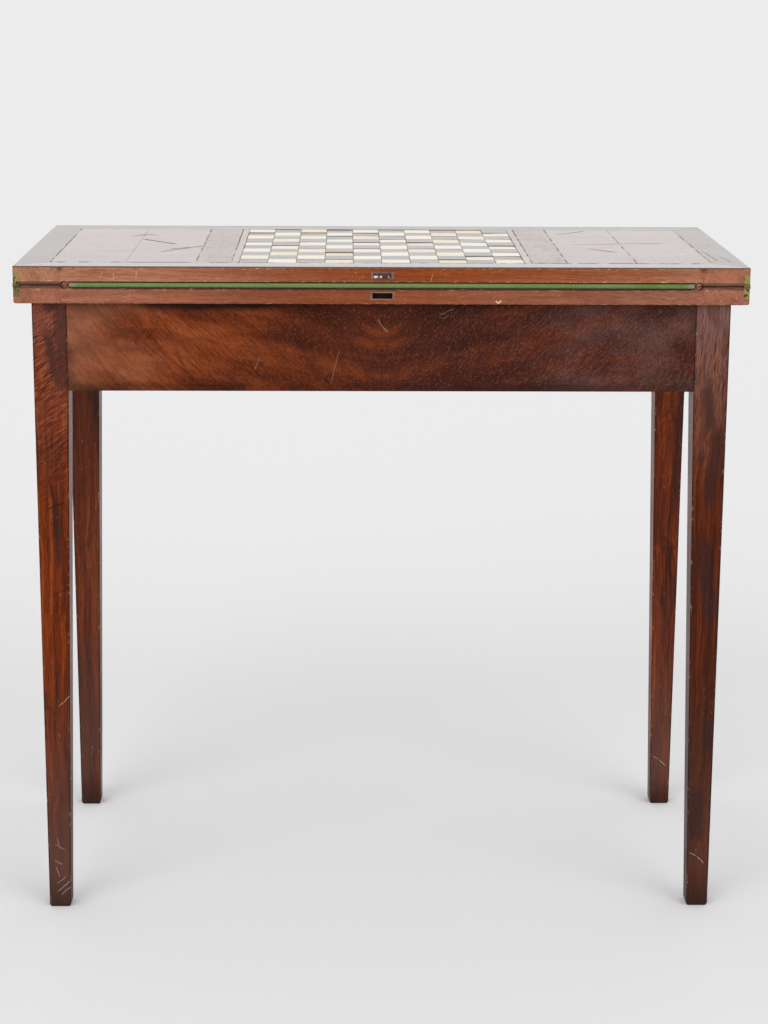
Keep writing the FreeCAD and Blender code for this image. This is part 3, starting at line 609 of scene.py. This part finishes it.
def leaf_finish(wood, name, turn, middle, ends, deepest, reach):
    """Worn wood of a leaf, deep at one place, dusty at a reach from it, chipped along the arrises."""
    finish = Finish(name)
    grain = Grain(finish, turn, (0.05, 0.0018), (0.25, 0.005), finish.warped(0.2, 0.005))
    cloud = finish.noise((0.09, 0.09, 0.016), detail=5.0)
    shades = [finish.ramp(grain.tone, (0.36, darker(shade, 0.66)), (0.50, shade),
            (0.66, darker(shade, 1.4))) for shade in (middle, ends)]
    off_middle = abs(finish.x - deepest)
    dusty = (off_middle + cloud * 0.16 - 0.08).step(0.0, reach)
    finish.shade = finish.mix(dusty, *shades)
    finish.lay(darker(middle, 0.4), grain.pores * 0.35)
    finish.lay(darker(middle, 0.7), cloud.step(0.5, 0.28) * 0.35)
    arris = finish.greatest(*[finish.z.beside(height, 2.4 * MM) for height in LEAF_ARRISES])
    patch = finish.spots((0.030, 0.030, 0.012), 0.46, 0.62, detail=3.0)
    chips = finish.spots((0.007, 0.004, 0.0018), 0.53, 0.64, detail=3.0) * arris * (patch * 0.7 + 0.3)
    nicks = finish.spots((0.0012, 0.004, 0.005), 0.62, 0.72, leaning(8), 2.0) * patch
    spots = finish.spots((0.0034, 0.003, 0.0016), 0.62, 0.74, detail=3.0) * patch
    scratches = finish.strokes(LEAF_SCRATCHES, FORWARD, 0.4 * MM)
    pale = finish.greatest(chips * 0.65, nicks * 0.35, spots * 0.5, scratches * 0.5,
            finish.strokes(LEAF_CHIPS, FORWARD, 0.2 * MM))
    finish.lay(wood.blackened, parting_stain(finish))
    finish.lay(wood.scratch, pale)
    joint = finish.away.beside(CLAMP_EDGE, 1.4 * MM) * cloud.step(0.4, 0.66) * 0.4
    corner = finish.away.beside(CLAMP_EDGE, 5 * MM) * finish.z.step(INLAY_FLOOR - 7 * MM, INLAY_FLOOR) * 0.7
    specks = finish.spots((0.003, 0.003, 0.0022), 0.36, 0.27, detail=2.0)
    # Painted shade: the inside of the catch slot is darkened where it lies in shade
    slot_shade = finish.y.between(FRONT + 0.3 * MM, FRONT + 30 * MM, 2 * MM) * finish.away.step(0.013, 0.012)
    # Painted shade: a dark line on the arris under the baize fold, where the fold shades it
    shade_under_fold = (finish.z.beside(BAIZE_FLOOR, 1.4 * MM) * finish.facing(FORWARD)
            * finish.away.step(BAIZE_EDGE, BAIZE_EDGE - 6 * MM) * 0.8)
    # The grime here is dirt in the clamp joints, the top corners and specks, and painted shade in the catch
    # slot, under the baize fold and round the plugs
    dirt = finish.greatest(joint, corner, plug_ring(finish), specks * 0.5, slot_shade * 0.9, shade_under_fold)
    finish.lay(wood.grime, dirt)
    roughness = cloud * 0.25 + grain.fibres * 0.15 + 0.28
    relief = grain.relief - chips * 2.0
    return finish.close(roughness, IOR=1.16, Normal=finish.bumped(relief, 0.25 * MM))


def border_finish(wood, name, turn):
    """Dark polished border round the baize, paler where its end grain shows on the hinge edge."""
    finish = Finish(name)
    grain = Grain(finish, turn, (0.06, 0.0022), (0.25, 0.006))
    finish.shade = finish.ramp(grain.tone, (0.36, darker(wood.border, 0.5)), (0.52, wood.border),
            (0.68, darker(wood.border, 1.7)))
    end = finish.ramp(grain.tone, (0.36, darker(wood.lower_ends, 0.45)),
            (0.64, darker(wood.lower_ends, 0.85)))
    front = finish.facing(FORWARD)
    finish.lay(end, front)
    finish.lay(wood.blackened, parting_stain(finish))
    seam = finish.z.beside(PARTING, 1.4 * MM) * front * 0.7
    finish.lay(wood.grime, finish.greatest(plug_ring(finish), seam))
    return finish.close(0.36, IOR=1.3, Normal=finish.bumped(grain.relief, 0.2 * MM))


def carcass_finish(wood, name, turn):
    """Plain unpolished wood inside the frame."""
    finish = Finish(name)
    grain = Grain(finish, turn, (0.10, 0.0030), (0.40, 0.009), finish.warped(0.15, 0.008))
    finish.shade = finish.ramp(grain.tone, (0.36, darker(wood.carcass, 0.55)), (0.52, wood.carcass),
            (0.66, darker(wood.carcass, 1.25)))
    stain = finish.spots((0.12, 0.12, 0.12), 0.50, 0.75, detail=4.0)
    finish.lay(darker(wood.carcass, 0.35), stain * 0.5)
    return finish.close(0.78, IOR=1.4, Normal=finish.bumped(grain.relief, 0.4 * MM))


def top_joints(finish):
    """Shares of bare dirty lines and of lifted edges along the joints of the top, broken here and there."""
    ragged = finish.noise((0.012, 0.020, 0.02), detail=4.0)
    broken = ragged.step(0.4, 0.58)
    sideways = ragged * (2.4 * MM) - 1.2 * MM + finish.x
    depth = abs(finish.y)
    inside = depth.step(BOARD_HALF + 1 * MM, BOARD_HALF)
    joints = [sideways.beside(place, 1.3 * MM) * strength for place, strength in TOP_JOINTS]
    upright = finish.greatest(*joints) * broken * inside
    inward = ragged * (2.4 * MM) - 1.2 * MM + depth
    between_ends = finish.away.step(FIELD_EDGE + 1 * MM, FIELD_EDGE)
    near = finish.y.step(0.12, -0.12)
    level = inward.beside(BOARD_HALF, 2.8 * MM) * broken * between_ends * (near * 0.6 + 0.25)
    across, deep = HALF_WIDTH - FIELD_EDGE, HALF_DEPTH - BOARD_HALF
    mitre = (finish.away - HALF_WIDTH) * (1 / across) - (depth - HALF_DEPTH) * (1 / deep)
    corner = mitre.beside(0.0, 0.03) * finish.away.step(FIELD_EDGE, FIELD_EDGE + 2 * MM) * broken * 0.4
    lip = (finish.y.step(-BOARD_HALF - 5 * MM, -BOARD_HALF)
            * finish.y.step(-BOARD_HALF + 0.6 * MM, -BOARD_HALF))
    lifted = lip * broken * between_ends
    rim = finish.y.step(HALF_DEPTH - 6 * MM, HALF_DEPTH)
    return finish.greatest(upright, level, corner), finish.greatest(lifted, rim)


def top_finish(wood, top, name, base, turn, vein, blur, cracks=(), speckle=0.0):
    """Veneer under old clear polish, which is gone from its joints and cracks."""
    finish = Finish(name)
    grain = Grain(finish, turn, (0.06, 0.0040), vein, finish.warped(0.12, 0.02))
    finish.shade = finish.ramp(grain.tone, (0.34, darker(base, 0.35)), (0.50, base),
            (0.66, darker(base, 1.5)))
    finish.lay(darker(base, 0.4), grain.pores * 0.4)
    finish.lay(darker(base, 0.2), grain.lines * 0.5)
    grit = finish.spots((0.0026, 0.010, 0.004), 0.44, 0.62, detail=3.0)
    pitted = grit * speckle
    finish.lay(darker(base, 0.3), pitted)
    raised = finish.strokes(cracks, UPWARD)
    joints, lips = top_joints(finish)
    dirt = finish.greatest(joints, raised.step(0.7, 0.96))
    edge = finish.z.step(TOP - 0.2 * MM, TOP - 0.9 * MM)
    finish.lay(darker(wood.lower_leaf, 0.3), edge * 0.75)
    finish.lay(darker(base, 0.45), dirt)
    blot = finish.noise((0.05, 0.05, 0.05), detail=4.0)
    ripple = finish.noise((0.10, 0.012, 0.012), ALONG_X, 3.0, finish.warped(0.06, 0.01))
    roughness = blot * 0.16 + dirt * 0.5 + (0.1 * speckle + blur - 0.08)
    wear = raised * 3.0 + lips * 6.0 + ripple * 1.2 - dirt
    bare = finish.greatest(dirt, pitted * 0.5)
    return finish.close(roughness, IOR=1.35, Coat_Weight=top.polish - bare * top.polish,
            Coat_Roughness=blur, Coat_Normal=finish.bumped(wear, 0.12 * MM),
            Normal=finish.bumped(grain.relief + wear, 0.12 * MM))


def square_cells(finish):
    """One random number for each square of the board, and the share of dirt along its sides."""
    cells = finish.vector("DIVIDE", finish.place, (SQUARE, SQUARE, 1.0))
    white = finish.add("ShaderNodeTexWhiteNoise", Vector=finish.vector("FLOOR", cells))
    number = Share(finish, white.outputs["Value"])
    shares = finish.parts(finish.vector("FRACTION", cells))
    off_middle = [abs(share - 0.5) for share in shares[:2]]
    rim = finish.greatest(*off_middle).step(0.5 - 1.0 * MM / SQUARE, 0.5 - 0.3 * MM / SQUARE)
    return number, rim


def bone_finish(board, top, name):
    """Bone, each square yellowed by its own amount, with dirty sides."""
    finish = Finish(name)
    number, rim = square_cells(finish)
    age = number * 0.7 + finish.noise((0.012, 0.03, 0.03), detail=3.0) * 0.5
    finish.shade = finish.ramp(age, (0.25, darker(board.bone, 1.05)), (0.70, board.bone),
            (1.0, board.bone_yellow))
    pits = finish.spots((0.0008, 0.006, 0.01), 0.64, 0.74, detail=1.0)
    finish.lay(darker(board.bone_yellow, 0.5), pits * 0.3)
    side = 1.0 - finish.facing(UPWARD)
    dirt = finish.greatest(side * 0.8, rim * 0.6)
    finish.lay(darker(board.bone_yellow, 0.1), dirt)
    polish = 0.3 * top.polish
    return finish.close(top.blur, IOR=1.54, Coat_Weight=polish - dirt * polish, Coat_Roughness=top.blur,
            Normal=finish.bumped(pits, -0.05 * MM))


def dark_square_finish(board, top, name):
    """Stained wood, faded unevenly from square to square."""
    finish = Finish(name)
    grain = Grain(finish, ALONG_X, (0.03, 0.0018), (0.08, 0.006))
    number, rim = square_cells(finish)
    fade = number * 0.45 + grain.tone * 0.55
    finish.shade = finish.ramp(fade, (0.30, board.dark), (0.80, board.dark_worn))
    polish = top.polish - rim * (0.6 * top.polish) - number * 0.12
    return finish.close(top.blur, IOR=1.5, Coat_Weight=polish, Coat_Roughness=top.blur,
            Normal=finish.bumped(grain.relief, 0.1 * MM))


def baize_finish(cloth, name):
    """Felted wool, with a painted highlight and wear along the crest of the fold and painted shade with
    dirt in the creases beside it.
    """
    finish = Finish(name, FOLDED_PLACE)
    fuzz = finish.noise((0.0012, 0.0012, 0.0012), detail=3.0)
    cloud = finish.noise((0.07, 0.05, 0.02), detail=3.0)
    tone = fuzz * 0.75 + cloud * 0.25
    finish.shade = finish.ramp(tone, (0.34, cloth.shade), (0.52, cloth.nap), (0.70, cloth.worn))
    fold = finish.y.step(FRONT + 6 * MM, FRONT + 4 * MM)
    # Painted highlight with wear: a lighter band along the middle of the fold, where the rounded cloth
    # catches the light
    crest = finish.z.beside(PARTING + 0.6 * MM, 2.6 * MM) * fold * cloud.step(0.25, 0.6) * 0.5
    finish.lay(cloth.worn, crest)
    ends = finish.away.step(BAIZE_EDGE - 10 * MM, BAIZE_EDGE - 4 * MM) * fold * 0.75
    finish.lay(cloth.frayed, ends)
    # Painted shade with dirt: dark bands along the top and bottom of the fold, where the leaves shade it
    creases = finish.greatest(finish.z.step(BAIZE_FLOOR + 2.0 * MM, BAIZE_FLOOR + 0.8 * MM),
            finish.z.step(BAIZE_CEILING - 2.4 * MM, BAIZE_CEILING - 1.0 * MM))
    finish.lay(cloth.crease_dirt_and_shade, creases * fold * 0.9)
    return finish.close(0.95, Sheen_Weight=0.15, Sheen_Roughness=0.4, Normal=finish.bumped(fuzz, 0.25 * MM))


def brass_finish(metal, name):
    """Rubbed brass, tarnished in patches and round the knuckles."""
    finish = Finish(name)
    mottle = finish.noise((0.004, 0.004, 0.004), detail=4.0)
    knuckle = finish.z.beside(PARTING, 2.6 * MM) * 0.7
    lower_left = finish.x.step(0.1, -0.1) * finish.z.step(PARTING, PARTING - 1 * MM) * 0.6
    tarnish = finish.greatest(mottle.step(0.5, 0.62), knuckle, lower_left)
    finish.shade = finish.mix(tarnish, metal.brass, metal.tarnish)
    return finish.close(tarnish * 0.3 + 0.34, Metallic=0.9 - tarnish * 0.5,
            Normal=finish.bumped(mottle, 0.15 * MM))


def steel_finish(metal, name, dirt):
    """Worn steel, stained by a share of dirt."""
    finish = Finish(name)
    brushed = finish.noise((0.012, 0.0004, 0.0004), detail=2.0)
    blotch = finish.noise((0.005, 0.005, 0.003), detail=4.0)
    stain = blotch.step(0.42, 0.64) * dirt
    finish.shade = finish.mix(stain, metal.steel, metal.rust)
    return finish.close(brushed * 0.2 + stain * 0.3 + 0.3, Metallic=0.8 - stain * 0.6,
            Normal=finish.bumped(brushed, 0.05 * MM))


def tongue_finish(metal, name):
    """Dark steel of the catch tongue, with painted highlights low on its left."""
    finish = Finish(name)
    blotch = finish.noise((0.003, 0.003, 0.003), detail=3.0)
    place = blotch * (3 * MM) - 1.5 * MM + finish.x
    # Painted highlights low on the left of the tongue, where it reflects the light
    low = finish.z.step(TONGUE_MIDDLE + 0.8 * MM, TONGUE_MIDDLE)
    bright = finish.greatest(place.beside(-7.5 * MM, 3.2 * MM), place.beside(-2 * MM, 1.6 * MM) * 0.8,
            place.beside(6.5 * MM, 1.2 * MM) * 0.5)
    finish.shade = finish.mix(bright * low, metal.tongue, metal.rubbed)
    return finish.close(0.32, Metallic=0.7, Normal=finish.bumped(blotch, 0.05 * MM))


def paint(material, *names):
    """Gives CAD nodes one material."""
    for name in names:
        slots = NODES[name].data.materials
        slots.clear()
        slots.append(material)


def selected_edges(piece, test):
    """Selects the edges of a piece in edit mode whose two ends pass a test."""
    bpy.ops.object.mode_set(mode="EDIT")
    bpy.ops.mesh.select_mode(type="EDGE")
    bpy.ops.mesh.select_all(action="DESELECT")
    bpy.ops.object.mode_set(mode="OBJECT")
    corners = piece.data.vertices
    for edge in piece.data.edges:
        edge.select = all(test(corners[number].co) for number in edge.vertices)
    bpy.ops.object.mode_set(mode="EDIT")


class GAMESTABLE_OT_legs(bpy.types.Operator):
    """Polish the four tapered legs"""
    bl_idname = "games_table.legs"
    bl_label = "Polish the legs"

    def execute(self, context):
        wood = context.scene.games_table_wood
        left = (LEFT_LEG_STAINS, LEFT_LEG_CRACKS, LEFT_LEG_SCRATCHES)
        right = (RIGHT_LEG_STAINS, RIGHT_LEG_CRACKS, RIGHT_LEG_SCRATCHES)
        rear = (REAR_LEG_STAINS_AND_SHADE, (), RIGHT_LEG_SCRATCHES)
        looks = {"front_left": LegLook(1.15, 1.05, 0.32, 0.0, leaning(36), 0.85, 0.35, *left),
                "front_right": LegLook(0.70, 0.52, 0.86, 0.02, leaning(82), 0.60, 0.80, *right),
                # The rear left leg's low upper tint paints the shade under the apron on the top of the leg
                "rear_left": LegLook(0.46, 0.74, 0.20, 0.08, leaning(80), 0.30, 0.20, *rear),
                "rear_right": LegLook(1.20, 1.00, 0.30, 0.04, leaning(58), 0.50, 0.20, *rear)}
        for name, look in looks.items():
            paint(leg_finish(wood, f"leg_{name}_polish", look), f"leg_{name}")
        return {"FINISHED"}


class GAMESTABLE_OT_aprons(bpy.types.Operator):
    """Lay the flame veneer on the aprons"""
    bl_idname = "games_table.aprons"
    bl_label = "Veneer the aprons"

    def execute(self, context):
        wood = context.scene.games_table_wood
        long_veneer = apron_finish(wood, "apron_veneer_long", True)
        paint(long_veneer, "apron_veneer_front", "apron_veneer_rear", "apron_lippings")
        paint(apron_finish(wood, "apron_veneer_short", False), "apron_veneer_left", "apron_veneer_right")
        paint(carcass_finish(wood, "carcass_along", ALONG_X), "apron_front", "apron_rear", "well_bottom")
        paint(carcass_finish(wood, "carcass_across", ALONG_Y), "apron_left", "apron_right", "pivot_board",
                "stop_peg")
        return {"FINISHED"}


class GAMESTABLE_OT_leaves(bpy.types.Operator):
    """Finish the panels, clamps, plugs and inner borders of both leaves"""
    bl_idname = "games_table.leaves"
    bl_label = "Finish the leaves"

    def execute(self, context):
        wood = context.scene.games_table_wood
        side = border_finish(wood, "side_border_wood", ALONG_Y)
        rear = border_finish(wood, "rear_border_wood", ALONG_X)
        # Colours of the middle and the ends of an edge, its deepest place and the reach to its ends
        edges = {"lower": (wood.lower_leaf, wood.lower_ends, -0.03, 0.37),
                "upper": (wood.upper_leaf, wood.upper_ends, 0.05, 0.46)}
        for leaf, wear in edges.items():
            panel = leaf_finish(wood, f"{leaf}_panel_wood", ALONG_X, *wear)
            clamp = leaf_finish(wood, f"{leaf}_clamp_wood", ALONG_Y, *wear)
            paint(panel, f"{leaf}_panel")
            paint(clamp, f"{leaf}_clamp_left", f"{leaf}_clamp_right", f"{leaf}_border_plugs")
            paint(side, f"{leaf}_border_left", f"{leaf}_border_right")
            paint(rear, f"{leaf}_border_rear")
        return {"FINISHED"}


class GAMESTABLE_OT_top(bpy.types.Operator):
    """Polish the crossbands, fields, bands and strips of the top"""
    bl_idname = "games_table.top"
    bl_label = "Polish the top"

    def execute(self, context):
        wood = context.scene.games_table_wood
        top = context.scene.games_table_top
        sheets = {"crossband_ends": (top.crossband, ALONG_X, (0.10, 0.006), top.blur, CROSSBAND_CRACKS),
                "crossband_front": (top.crossband, ALONG_Y, (0.10, 0.006), top.front_blur),
                "crossband_rear": (top.crossband, ALONG_Y, (0.10, 0.006), top.blur),
                "field_left": (top.field, ALONG_X, (0.20, 0.014), top.field_blur, LEFT_FIELD_CRACKS),
                "field_right": (top.field, ALONG_X, (0.20, 0.014), top.field_blur, RIGHT_FIELD_CRACKS),
                "board_bands": (top.band, ALONG_Y, (0.12, 0.006), top.blur, (), 0.4),
                "board_edge_strips": (top.strip, ALONG_Y, (0.20, 0.006), top.blur)}
        pairs = {"crossband_ends": ("crossband_left", "crossband_right"),
                "field_left": ("field_left_outer", "field_left_inner"),
                "field_right": ("field_right_outer", "field_right_inner")}
        for name, values in sheets.items():
            paint(top_finish(wood, top, name, *values), *pairs.get(name, [name]))
        return {"FINISHED"}


class GAMESTABLE_OT_board(bpy.types.Operator):
    """Lay the bone and dark squares, each a little out of level"""
    bl_idname = "games_table.board"
    bl_label = "Lay the board"

    def execute(self, context):
        scene = context.scene
        board, top = scene.games_table_board, scene.games_table_top
        bone = bone_finish(board, top, "bone_squares")
        dark = dark_square_finish(board, top, "stained_squares")
        self.lay(board, 1, "bone_tiles", "light_squares", "bone", bone)
        self.lay(board, 0, "stained_tiles", "dark_squares", "dark_inlay", dark)
        return {"FINISHED"}

    def tile(self, board):
        """One square with softened top arrises, its middle at the origin."""
        bpy.ops.object.select_all(action="DESELECT")
        bpy.ops.mesh.primitive_cube_add(size=1.0)
        tile = bpy.context.object
        tile.scale = (SQUARE - board.gap, SQUARE - board.gap, (TOP - INLAY_FLOOR) / 2)
        bpy.ops.object.transform_apply(scale=True)
        selected_edges(tile, lambda corner: corner.z > 0)
        bpy.ops.mesh.bevel(offset=board.bevel, segments=2, affect="EDGES")
        bpy.ops.object.mode_set(mode="OBJECT")
        return tile

    def lay(self, board, parity, name, node, slot, material):
        random.seed(board.seed + parity)
        pattern = self.tile(board)
        tiles = []
        for row in range(SQUARES_PER_SIDE):
            for column in range(SQUARES_PER_SIDE):
                if (row + column) % 2 == parity:
                    tiles.append(self.placed(board, pattern, row, column))
        bpy.data.objects.remove(pattern)
        bpy.ops.object.select_all(action="DESELECT")
        for tile in tiles:
            tile.select_set(True)
        bpy.context.view_layer.objects.active = tiles[0]
        bpy.ops.object.join()
        piece = bpy.context.object
        piece.name = name
        piece.data.materials.append(material)
        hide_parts(node)
        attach(piece, "upper_leaf")

    def placed(self, board, pattern, row, column):
        """Copy of the square in its place, leaning a little, with no corner above the top."""
        tile = pattern.copy()
        tile.data = pattern.data.copy()
        bpy.context.scene.collection.objects.link(tile)
        loose = random.random() ** 2
        lean = Matrix.Rotation(random.uniform(-1, 1) * board.tilt * loose, 4, "X")
        lean = lean @ Matrix.Rotation(random.uniform(-1, 1) * board.tilt * loose, 4, "Y")
        tile.data.transform(lean)
        rise = TOP - max(corner.co.z for corner in tile.data.vertices) - board.sink * random.random() ** 2
        x = (column + 0.5) * SQUARE - BOARD_HALF
        y = (row + 0.5) * SQUARE - BOARD_HALF
        tile.data.transform(Matrix.Translation((x, y, rise)))
        return tile


class GAMESTABLE_OT_baize(bpy.types.Operator):
    """Lay one sheet of baize on both leaves, folded round along the hinge edge"""
    bl_idname = "games_table.baize"
    bl_label = "Lay the baize"

    def execute(self, context):
        cloth = context.scene.games_table_cloth
        low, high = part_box("lower_baize")
        fold_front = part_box("baize_fold")[LOW].y
        floor = low.z + cloth.thickness / 2
        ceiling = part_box("upper_baize")[HIGH].z - cloth.thickness / 2
        radius = (ceiling - floor) / 2
        centre_y = fold_front + cloth.thickness / 2 + radius
        bpy.ops.object.select_all(action="DESELECT")
        bpy.ops.mesh.primitive_grid_add(x_subdivisions=SHEET_COLUMNS, y_subdivisions=SHEET_ROWS, size=1.0)
        sheet = bpy.context.object
        sheet.name = "baize_sheet"
        sheet.scale = (high.x - low.x, high.y - centre_y, 1.0)
        sheet.location = (0, (high.y + centre_y) / 2, floor)
        bpy.ops.object.transform_apply(location=True, scale=True)
        selected_edges(sheet, lambda corner: corner.y < centre_y + 0.01 * MM)
        bpy.ops.mesh.spin(steps=FOLD_STEPS, angle=math.pi, center=(0, centre_y, (floor + ceiling) / 2),
                axis=(1, 0, 0))
        bpy.ops.mesh.extrude_region_move(TRANSFORM_OT_translate={"value": (0, high.y - centre_y, 0)})
        bpy.ops.object.mode_set(mode="OBJECT")
        solidify = sheet.modifiers.new("Thickness", "SOLIDIFY")
        solidify.thickness = cloth.thickness
        solidify.offset = 0
        bpy.ops.object.modifier_apply(modifier=solidify.name)
        bpy.ops.object.shade_smooth_by_angle(angle=SMOOTH_ANGLE)
        places = sheet.data.attributes.new(FOLDED_PLACE, "FLOAT_VECTOR", "POINT")
        for place, corner in zip(places.data, sheet.data.vertices):
            place.vector = corner.co
        sheet.data.materials.append(baize_finish(cloth, "green_baize"))
        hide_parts("lower_baize", "baize_fold", "upper_baize")
        flat_length = 2 * (high.y - centre_y) + math.pi * radius
        floor + cloth.thickness / 2
        ceiling - cloth.thickness / 2
        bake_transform(sheet)
        return {"FINISHED"}


class GAMESTABLE_OT_metal(bpy.types.Operator):
    """Tarnish the hinges, the catch and the swivel"""
    bl_idname = "games_table.metal"
    bl_label = "Age the metal"

    def execute(self, context):
        metal = context.scene.games_table_metal
        paint(brass_finish(metal, "tarnished_brass"), "lower_hinge_left", "lower_hinge_right",
                "upper_hinge_left", "upper_hinge_right", "hinge_pins")
        paint(steel_finish(metal, "worn_steel", 0.7), "lower_hinge_screws", "upper_hinge_screws",
                "slot_plate", "tongue_plate", "pivot_plate", "pivot_plate_screws", "pivot_stud",
                "pivot_washer", "pivot_nut")
        paint(tongue_finish(metal, "steel_with_painted_glints"), "catch_tongue")
        return {"FINISHED"}


class GAMESTABLE_OT_stage(bpy.types.Operator):
    """Set the floor, the surroundings, two soft lights and the camera"""
    bl_idname = "games_table.stage"
    bl_label = "Set the stage"

    def execute(self, context):
        stage = context.scene.games_table_stage
        context.scene.view_settings.view_transform = "Standard"
        self.floor(stage)
        self.surroundings(context.scene, stage)
        self.light("key_light", stage.key, stage.softness, KEY_TURN)
        self.light("fill_light", stage.fill, stage.softness, FILL_TURN)
        self.camera(context.scene, stage)
        return {"FINISHED"}

    def floor(self, stage):
        bpy.ops.object.select_all(action="DESELECT")
        bpy.ops.mesh.primitive_plane_add(size=stage.floor_size)
        floor = bpy.context.object
        floor.name = "floor"
        finish = Finish("pale_floor")
        finish.shade = stage.floor
        floor.data.materials.append(finish.close(0.9, IOR=1.2))

    def surroundings(self, scene, stage):
        """Pale as the camera and reflections see it, and a plain level of light otherwise."""
        world = bpy.data.worlds.new("surroundings")
        world.use_nodes = True
        scene.world = world
        nodes, links = world.node_tree.nodes, world.node_tree.links
        shade = nodes["Background"]
        shade.inputs["Color"].default_value = (1, 1, 1, 1)
        path = nodes.new("ShaderNodeLightPath")
        seen = path.outputs["Is Camera Ray"]
        for name in ("Is Glossy Ray", "Is Transmission Ray"):
            either = nodes.new("ShaderNodeMath")
            either.operation = "MAXIMUM"
            links.new(seen, either.inputs[0])
            links.new(path.outputs[name], either.inputs[1])
            seen = either.outputs[0]
        level = nodes.new("ShaderNodeMapRange")
        level.inputs["To Min"].default_value = stage.ambient
        level.inputs["To Max"].default_value = stage.backdrop
        links.new(seen, level.inputs["Value"])
        links.new(level.outputs["Result"], shade.inputs["Strength"])

    def light(self, name, strength, softness, degrees):
        bpy.ops.object.select_all(action="DESELECT")
        bpy.ops.object.light_add(type="SUN", rotation=[math.radians(turn) for turn in degrees])
        lamp = bpy.context.object
        lamp.name = name
        lamp.data.energy = strength
        lamp.data.angle = softness
        lamp.visible_glossy = False

    def camera(self, scene, stage):
        forward = Vector((math.sin(stage.camera_yaw) * math.cos(stage.camera_pitch),
                math.cos(stage.camera_yaw) * math.cos(stage.camera_pitch), -math.sin(stage.camera_pitch)))
        right = Vector((math.cos(stage.camera_yaw), -math.sin(stage.camera_yaw), 0))
        turn = Matrix((right, right.cross(forward), -forward)).transposed().to_4x4()
        bpy.ops.object.camera_add()
        camera = bpy.context.object
        camera.name = "photo_camera"
        camera.data.lens = stage.camera_lens
        camera.data.sensor_width = SENSOR_WIDTH
        camera.data.clip_end = SIGHT
        camera.matrix_world = (Matrix.Translation(stage.camera_place) @ turn
                @ Matrix.Rotation(stage.camera_roll, 4, "Z"))
        scene.camera = camera


class GAMESTABLE_PT_panel(bpy.types.Panel):
    """Steps that dress the table, in order"""
    bl_idname = "GAMESTABLE_PT_panel"
    bl_label = "Games table"
    bl_space_type = "VIEW_3D"
    bl_region_type = "UI"
    bl_category = "Games table"

    def draw(self, context):
        for operator in OPERATORS:
            self.layout.operator(operator.bl_idname)
        for name in SETTINGS:
            group = getattr(context.scene, name)
            column = self.layout.column()
            for key in group.bl_rna.properties.keys():
                if key not in ("rna_type", "name"):
                    column.prop(group, key)


OPERATORS = (GAMESTABLE_OT_legs, GAMESTABLE_OT_aprons, GAMESTABLE_OT_leaves, GAMESTABLE_OT_top,
    GAMESTABLE_OT_board, GAMESTABLE_OT_baize, GAMESTABLE_OT_metal, GAMESTABLE_OT_stage)
SETTINGS = {"games_table_wood": WoodSettings, "games_table_top": TopSettings,
    "games_table_board": BoardSettings, "games_table_cloth": ClothSettings,
    "games_table_metal": MetalSettings, "games_table_stage": StageSettings}
CLASSES = (*SETTINGS.values(), *OPERATORS, GAMESTABLE_PT_panel)


def register():
    for item in CLASSES:
        bpy.utils.register_class(item)
    for name, group in SETTINGS.items():
        setattr(bpy.types.Scene, name, PointerProperty(type=group))


def unregister():
    for name in SETTINGS:
        delattr(bpy.types.Scene, name)
    for item in reversed(CLASSES):
        bpy.utils.unregister_class(item)


def main():
    register()
    bpy.ops.games_table.legs()
    bpy.ops.games_table.aprons()
    bpy.ops.games_table.leaves()
    bpy.ops.games_table.top()
    bpy.ops.games_table.board()
    bpy.ops.games_table.baize()
    bpy.ops.games_table.metal()
    bpy.ops.games_table.stage()


if __name__ == "__main__":
    main()
